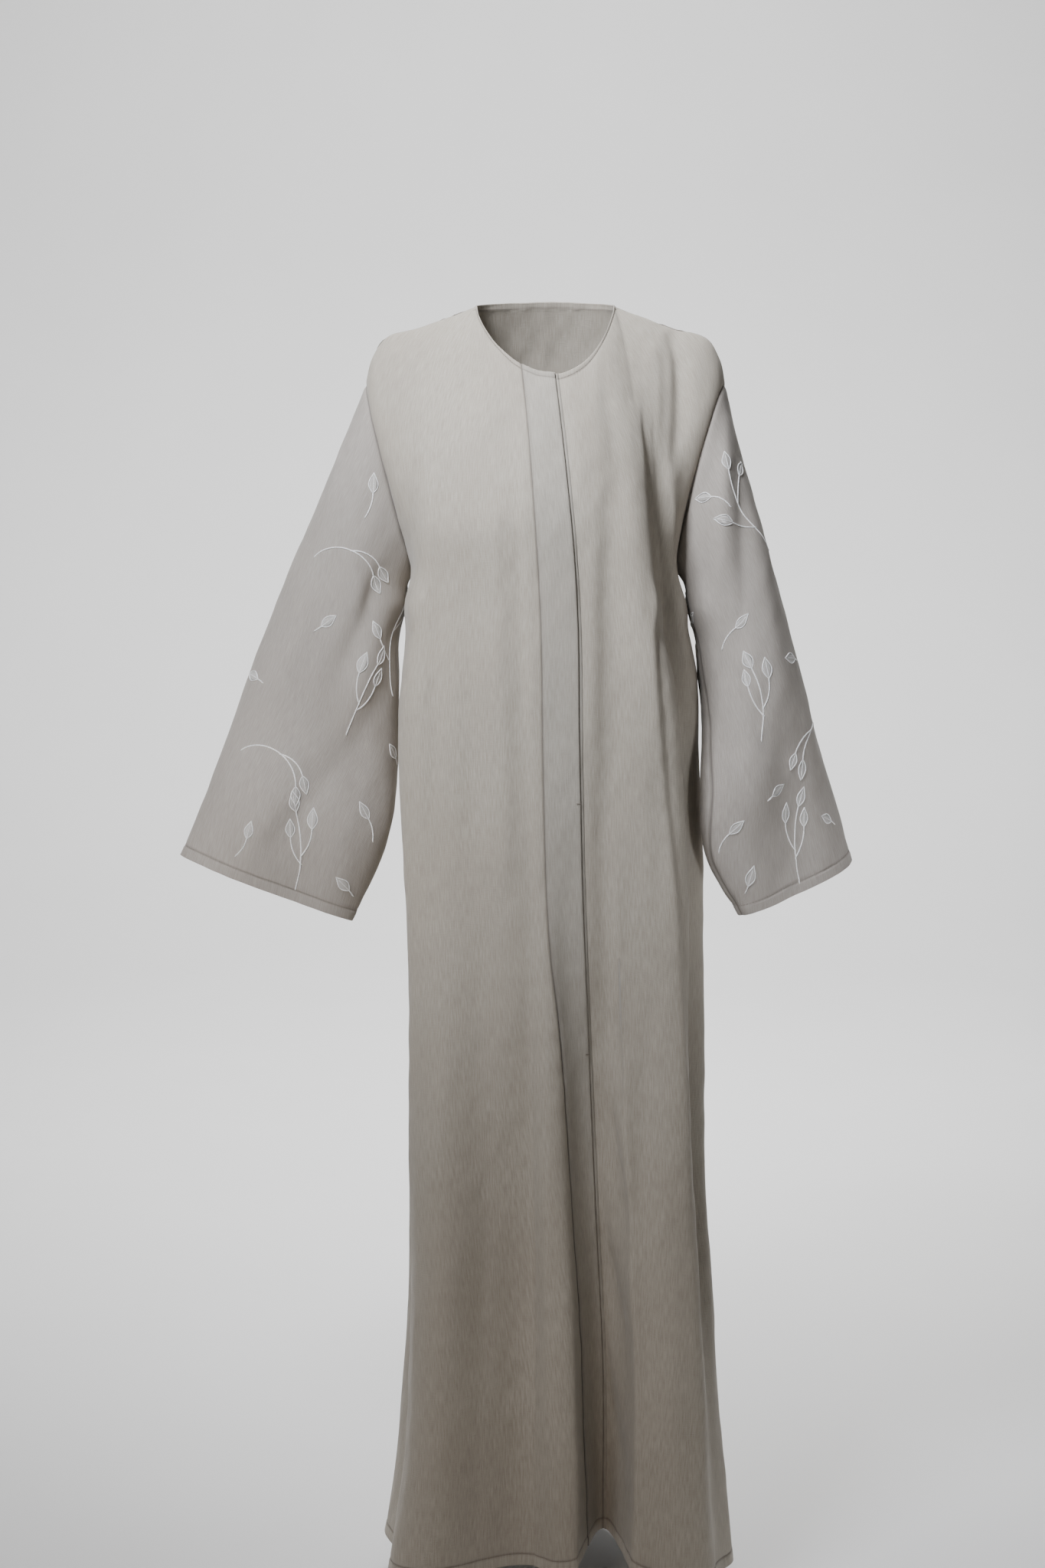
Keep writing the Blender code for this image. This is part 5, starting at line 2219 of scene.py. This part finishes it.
@dataclass
class AreaLight:
    """One soft light, by its place, its aim, its size, its power and how wide its grid lets it spread."""

    name: str
    place: tuple[float, float, float]
    aim: tuple[float, float, float]
    size: float
    power: float
    spread: float = 180.0
    colour: str = "#ffffff"

    def build(self) -> Any:
        """Return the light as an object.

        Returns:
            The light.
        """
        light = bpy.data.lights.new(self.name, "AREA")
        light.shape = "SQUARE"
        light.size = self.size
        light.energy = self.power
        light.spread = np.radians(self.spread)
        light.color = linear(self.colour)[:3]
        lamp = bpy.data.objects.new(self.name, light)
        bpy.context.scene.collection.objects.link(lamp)
        lamp.location = self.place
        aim = Vector(self.aim) - Vector(self.place)
        lamp.rotation_mode = "QUATERNION"
        lamp.rotation_quaternion = aim.to_track_quat("-Z", "Y")
        return lamp


@dataclass
class Studio:
    """The camera, the lights and one round cove that is floor and backdrop."""

    finish: StudioFinish = StudioFinish()
    camera_place: tuple[float, float, float] = (-0.02565, -2.783, -0.2308)
    camera_pitch: float = 6.5
    camera_focal_pixels: float = 3150.0
    picture_height: float = 2048.0
    sensor_height: float = 36.0
    floor: float = -1.500
    floor_radius: float = 3.6
    curve_radius: float = 2.4
    wall_height: float = 6.0
    sides: int = 64
    ambient: float = 0.010
    lights: tuple[AreaLight, ...] = (
        AreaLight("key_light", (-0.60, -1.12, 0.84), (0.0, -0.1, -0.05), 0.5, 9.4, 68.0, "#eef2fa"),
        AreaLight("low_light", (-0.62, -2.40, -0.35), (0.0, -0.15, -1.30), 0.4, 0.20, 34.0, "#ffe2c4"),
        AreaLight("left_cuff_light", (1.15, -1.30, -0.95), (0.34, 0.0, -0.62), 0.35, 0.28, 22.0, "#f1f4fb"),
        AreaLight(
            "right_cuff_light", (-1.25, -1.30, -0.95), (-0.34, 0.0, -0.58), 0.35, 0.36, 24.0, "#faf6f4"
        ),
        AreaLight("back_wall_light", (0.0, 2.2, 3.7), (0.0, 5.2, -1.0), 2.4, 216.0, 104.0),
        AreaLight("back_floor_light", (0.0, 2.0, 2.9), (0.0, 1.0, -1.5), 1.6, 52.0, 76.0),
        AreaLight("left_wall_light", (2.6, 0.0, 3.8), (5.6, 0.0, -0.4), 2.0, 20.0, 90.0),
        AreaLight("right_wall_light", (-2.6, 0.0, 3.8), (-5.6, 0.0, -0.4), 2.0, 20.0, 90.0),
        AreaLight("front_wall_light", (0.0, -3.6, 3.8), (0.0, -5.8, -0.4), 2.0, 8.0, 80.0),
    )

    def add_camera(self) -> None:
        """Make the camera at the picture's viewing angle."""
        camera = bpy.data.cameras.new("camera")
        camera.sensor_fit = "VERTICAL"
        camera.sensor_height = self.sensor_height
        camera.lens = self.camera_focal_pixels / self.picture_height * self.sensor_height
        stand = bpy.data.objects.new("camera", camera)
        bpy.context.scene.collection.objects.link(stand)
        stand.location = self.camera_place
        stand.rotation_euler = (np.radians(90.0 - self.camera_pitch), 0.0, 0.0)
        bpy.context.scene.camera = stand

    def add_backdrop(self) -> None:
        """Make the round floor that curves up into a wall all round."""
        turn = np.linspace(0.0, np.pi / 2, 17)
        out = self.floor_radius + self.curve_radius * np.sin(turn)
        up = self.floor + self.curve_radius * (1 - np.cos(turn))
        profile = [*zip(out, up), (out[-1], self.floor + self.wall_height)]
        angles = np.arange(self.sides) * 2 * np.pi / self.sides
        points = [(r * np.cos(angle), r * np.sin(angle), z) for r, z in profile for angle in angles]
        faces = [list(range(self.sides))]
        for ring in range(len(profile) - 1):
            for side in range(self.sides):
                near, far = (ring * self.sides + k % self.sides for k in (side, side + 1))
                faces.append([near, near + self.sides, far + self.sides, far])
        new_piece("studio_backdrop", points, faces, material_of(self.finish))

    def build(self) -> None:
        """Build the whole studio."""
        self.add_camera()
        self.add_backdrop()
        for light in self.lights:
            light.build()
        world = bpy.data.worlds.new("soft_room_light")
        bpy.context.scene.world = world
        world.use_nodes = True
        world.node_tree.nodes["Background"].inputs["Color"].default_value = linear("#f5cda2")
        world.node_tree.nodes["Background"].inputs["Strength"].default_value = self.ambient


# Main


def write_sizes() -> None:
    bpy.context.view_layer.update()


def main() -> None:
    """Build every piece of the cloak and the studio round it."""
    logging.basicConfig(level=logging.INFO, format="%(message)s")
    Studio().build()
    sleeves = {1: SleeveForm(1, SLEEVE_LEFT), -1: SleeveForm(-1, SLEEVE_RIGHT)}
    shapes = ClothShapes(BodyForm(sleeves), sleeves, CreaseField())
    panels = Panels(shapes)
    surfaces = [SleeveSurface(shapes.sleeves[side], side, shapes.sleeve_places) for side in (1, -1)]
    sprigs = [Embroidery(surface) for surface in surfaces]
    parts = (panels, Bands(shapes, panels), Sleeves(shapes), Sewing(shapes, panels), *sprigs)
    for part in parts:
        for piece in part.dress():
            LOG.info("%s: %d faces", piece.name, len(piece.data.polygons))
    write_sizes()


if __name__ == "__main__":
    main()
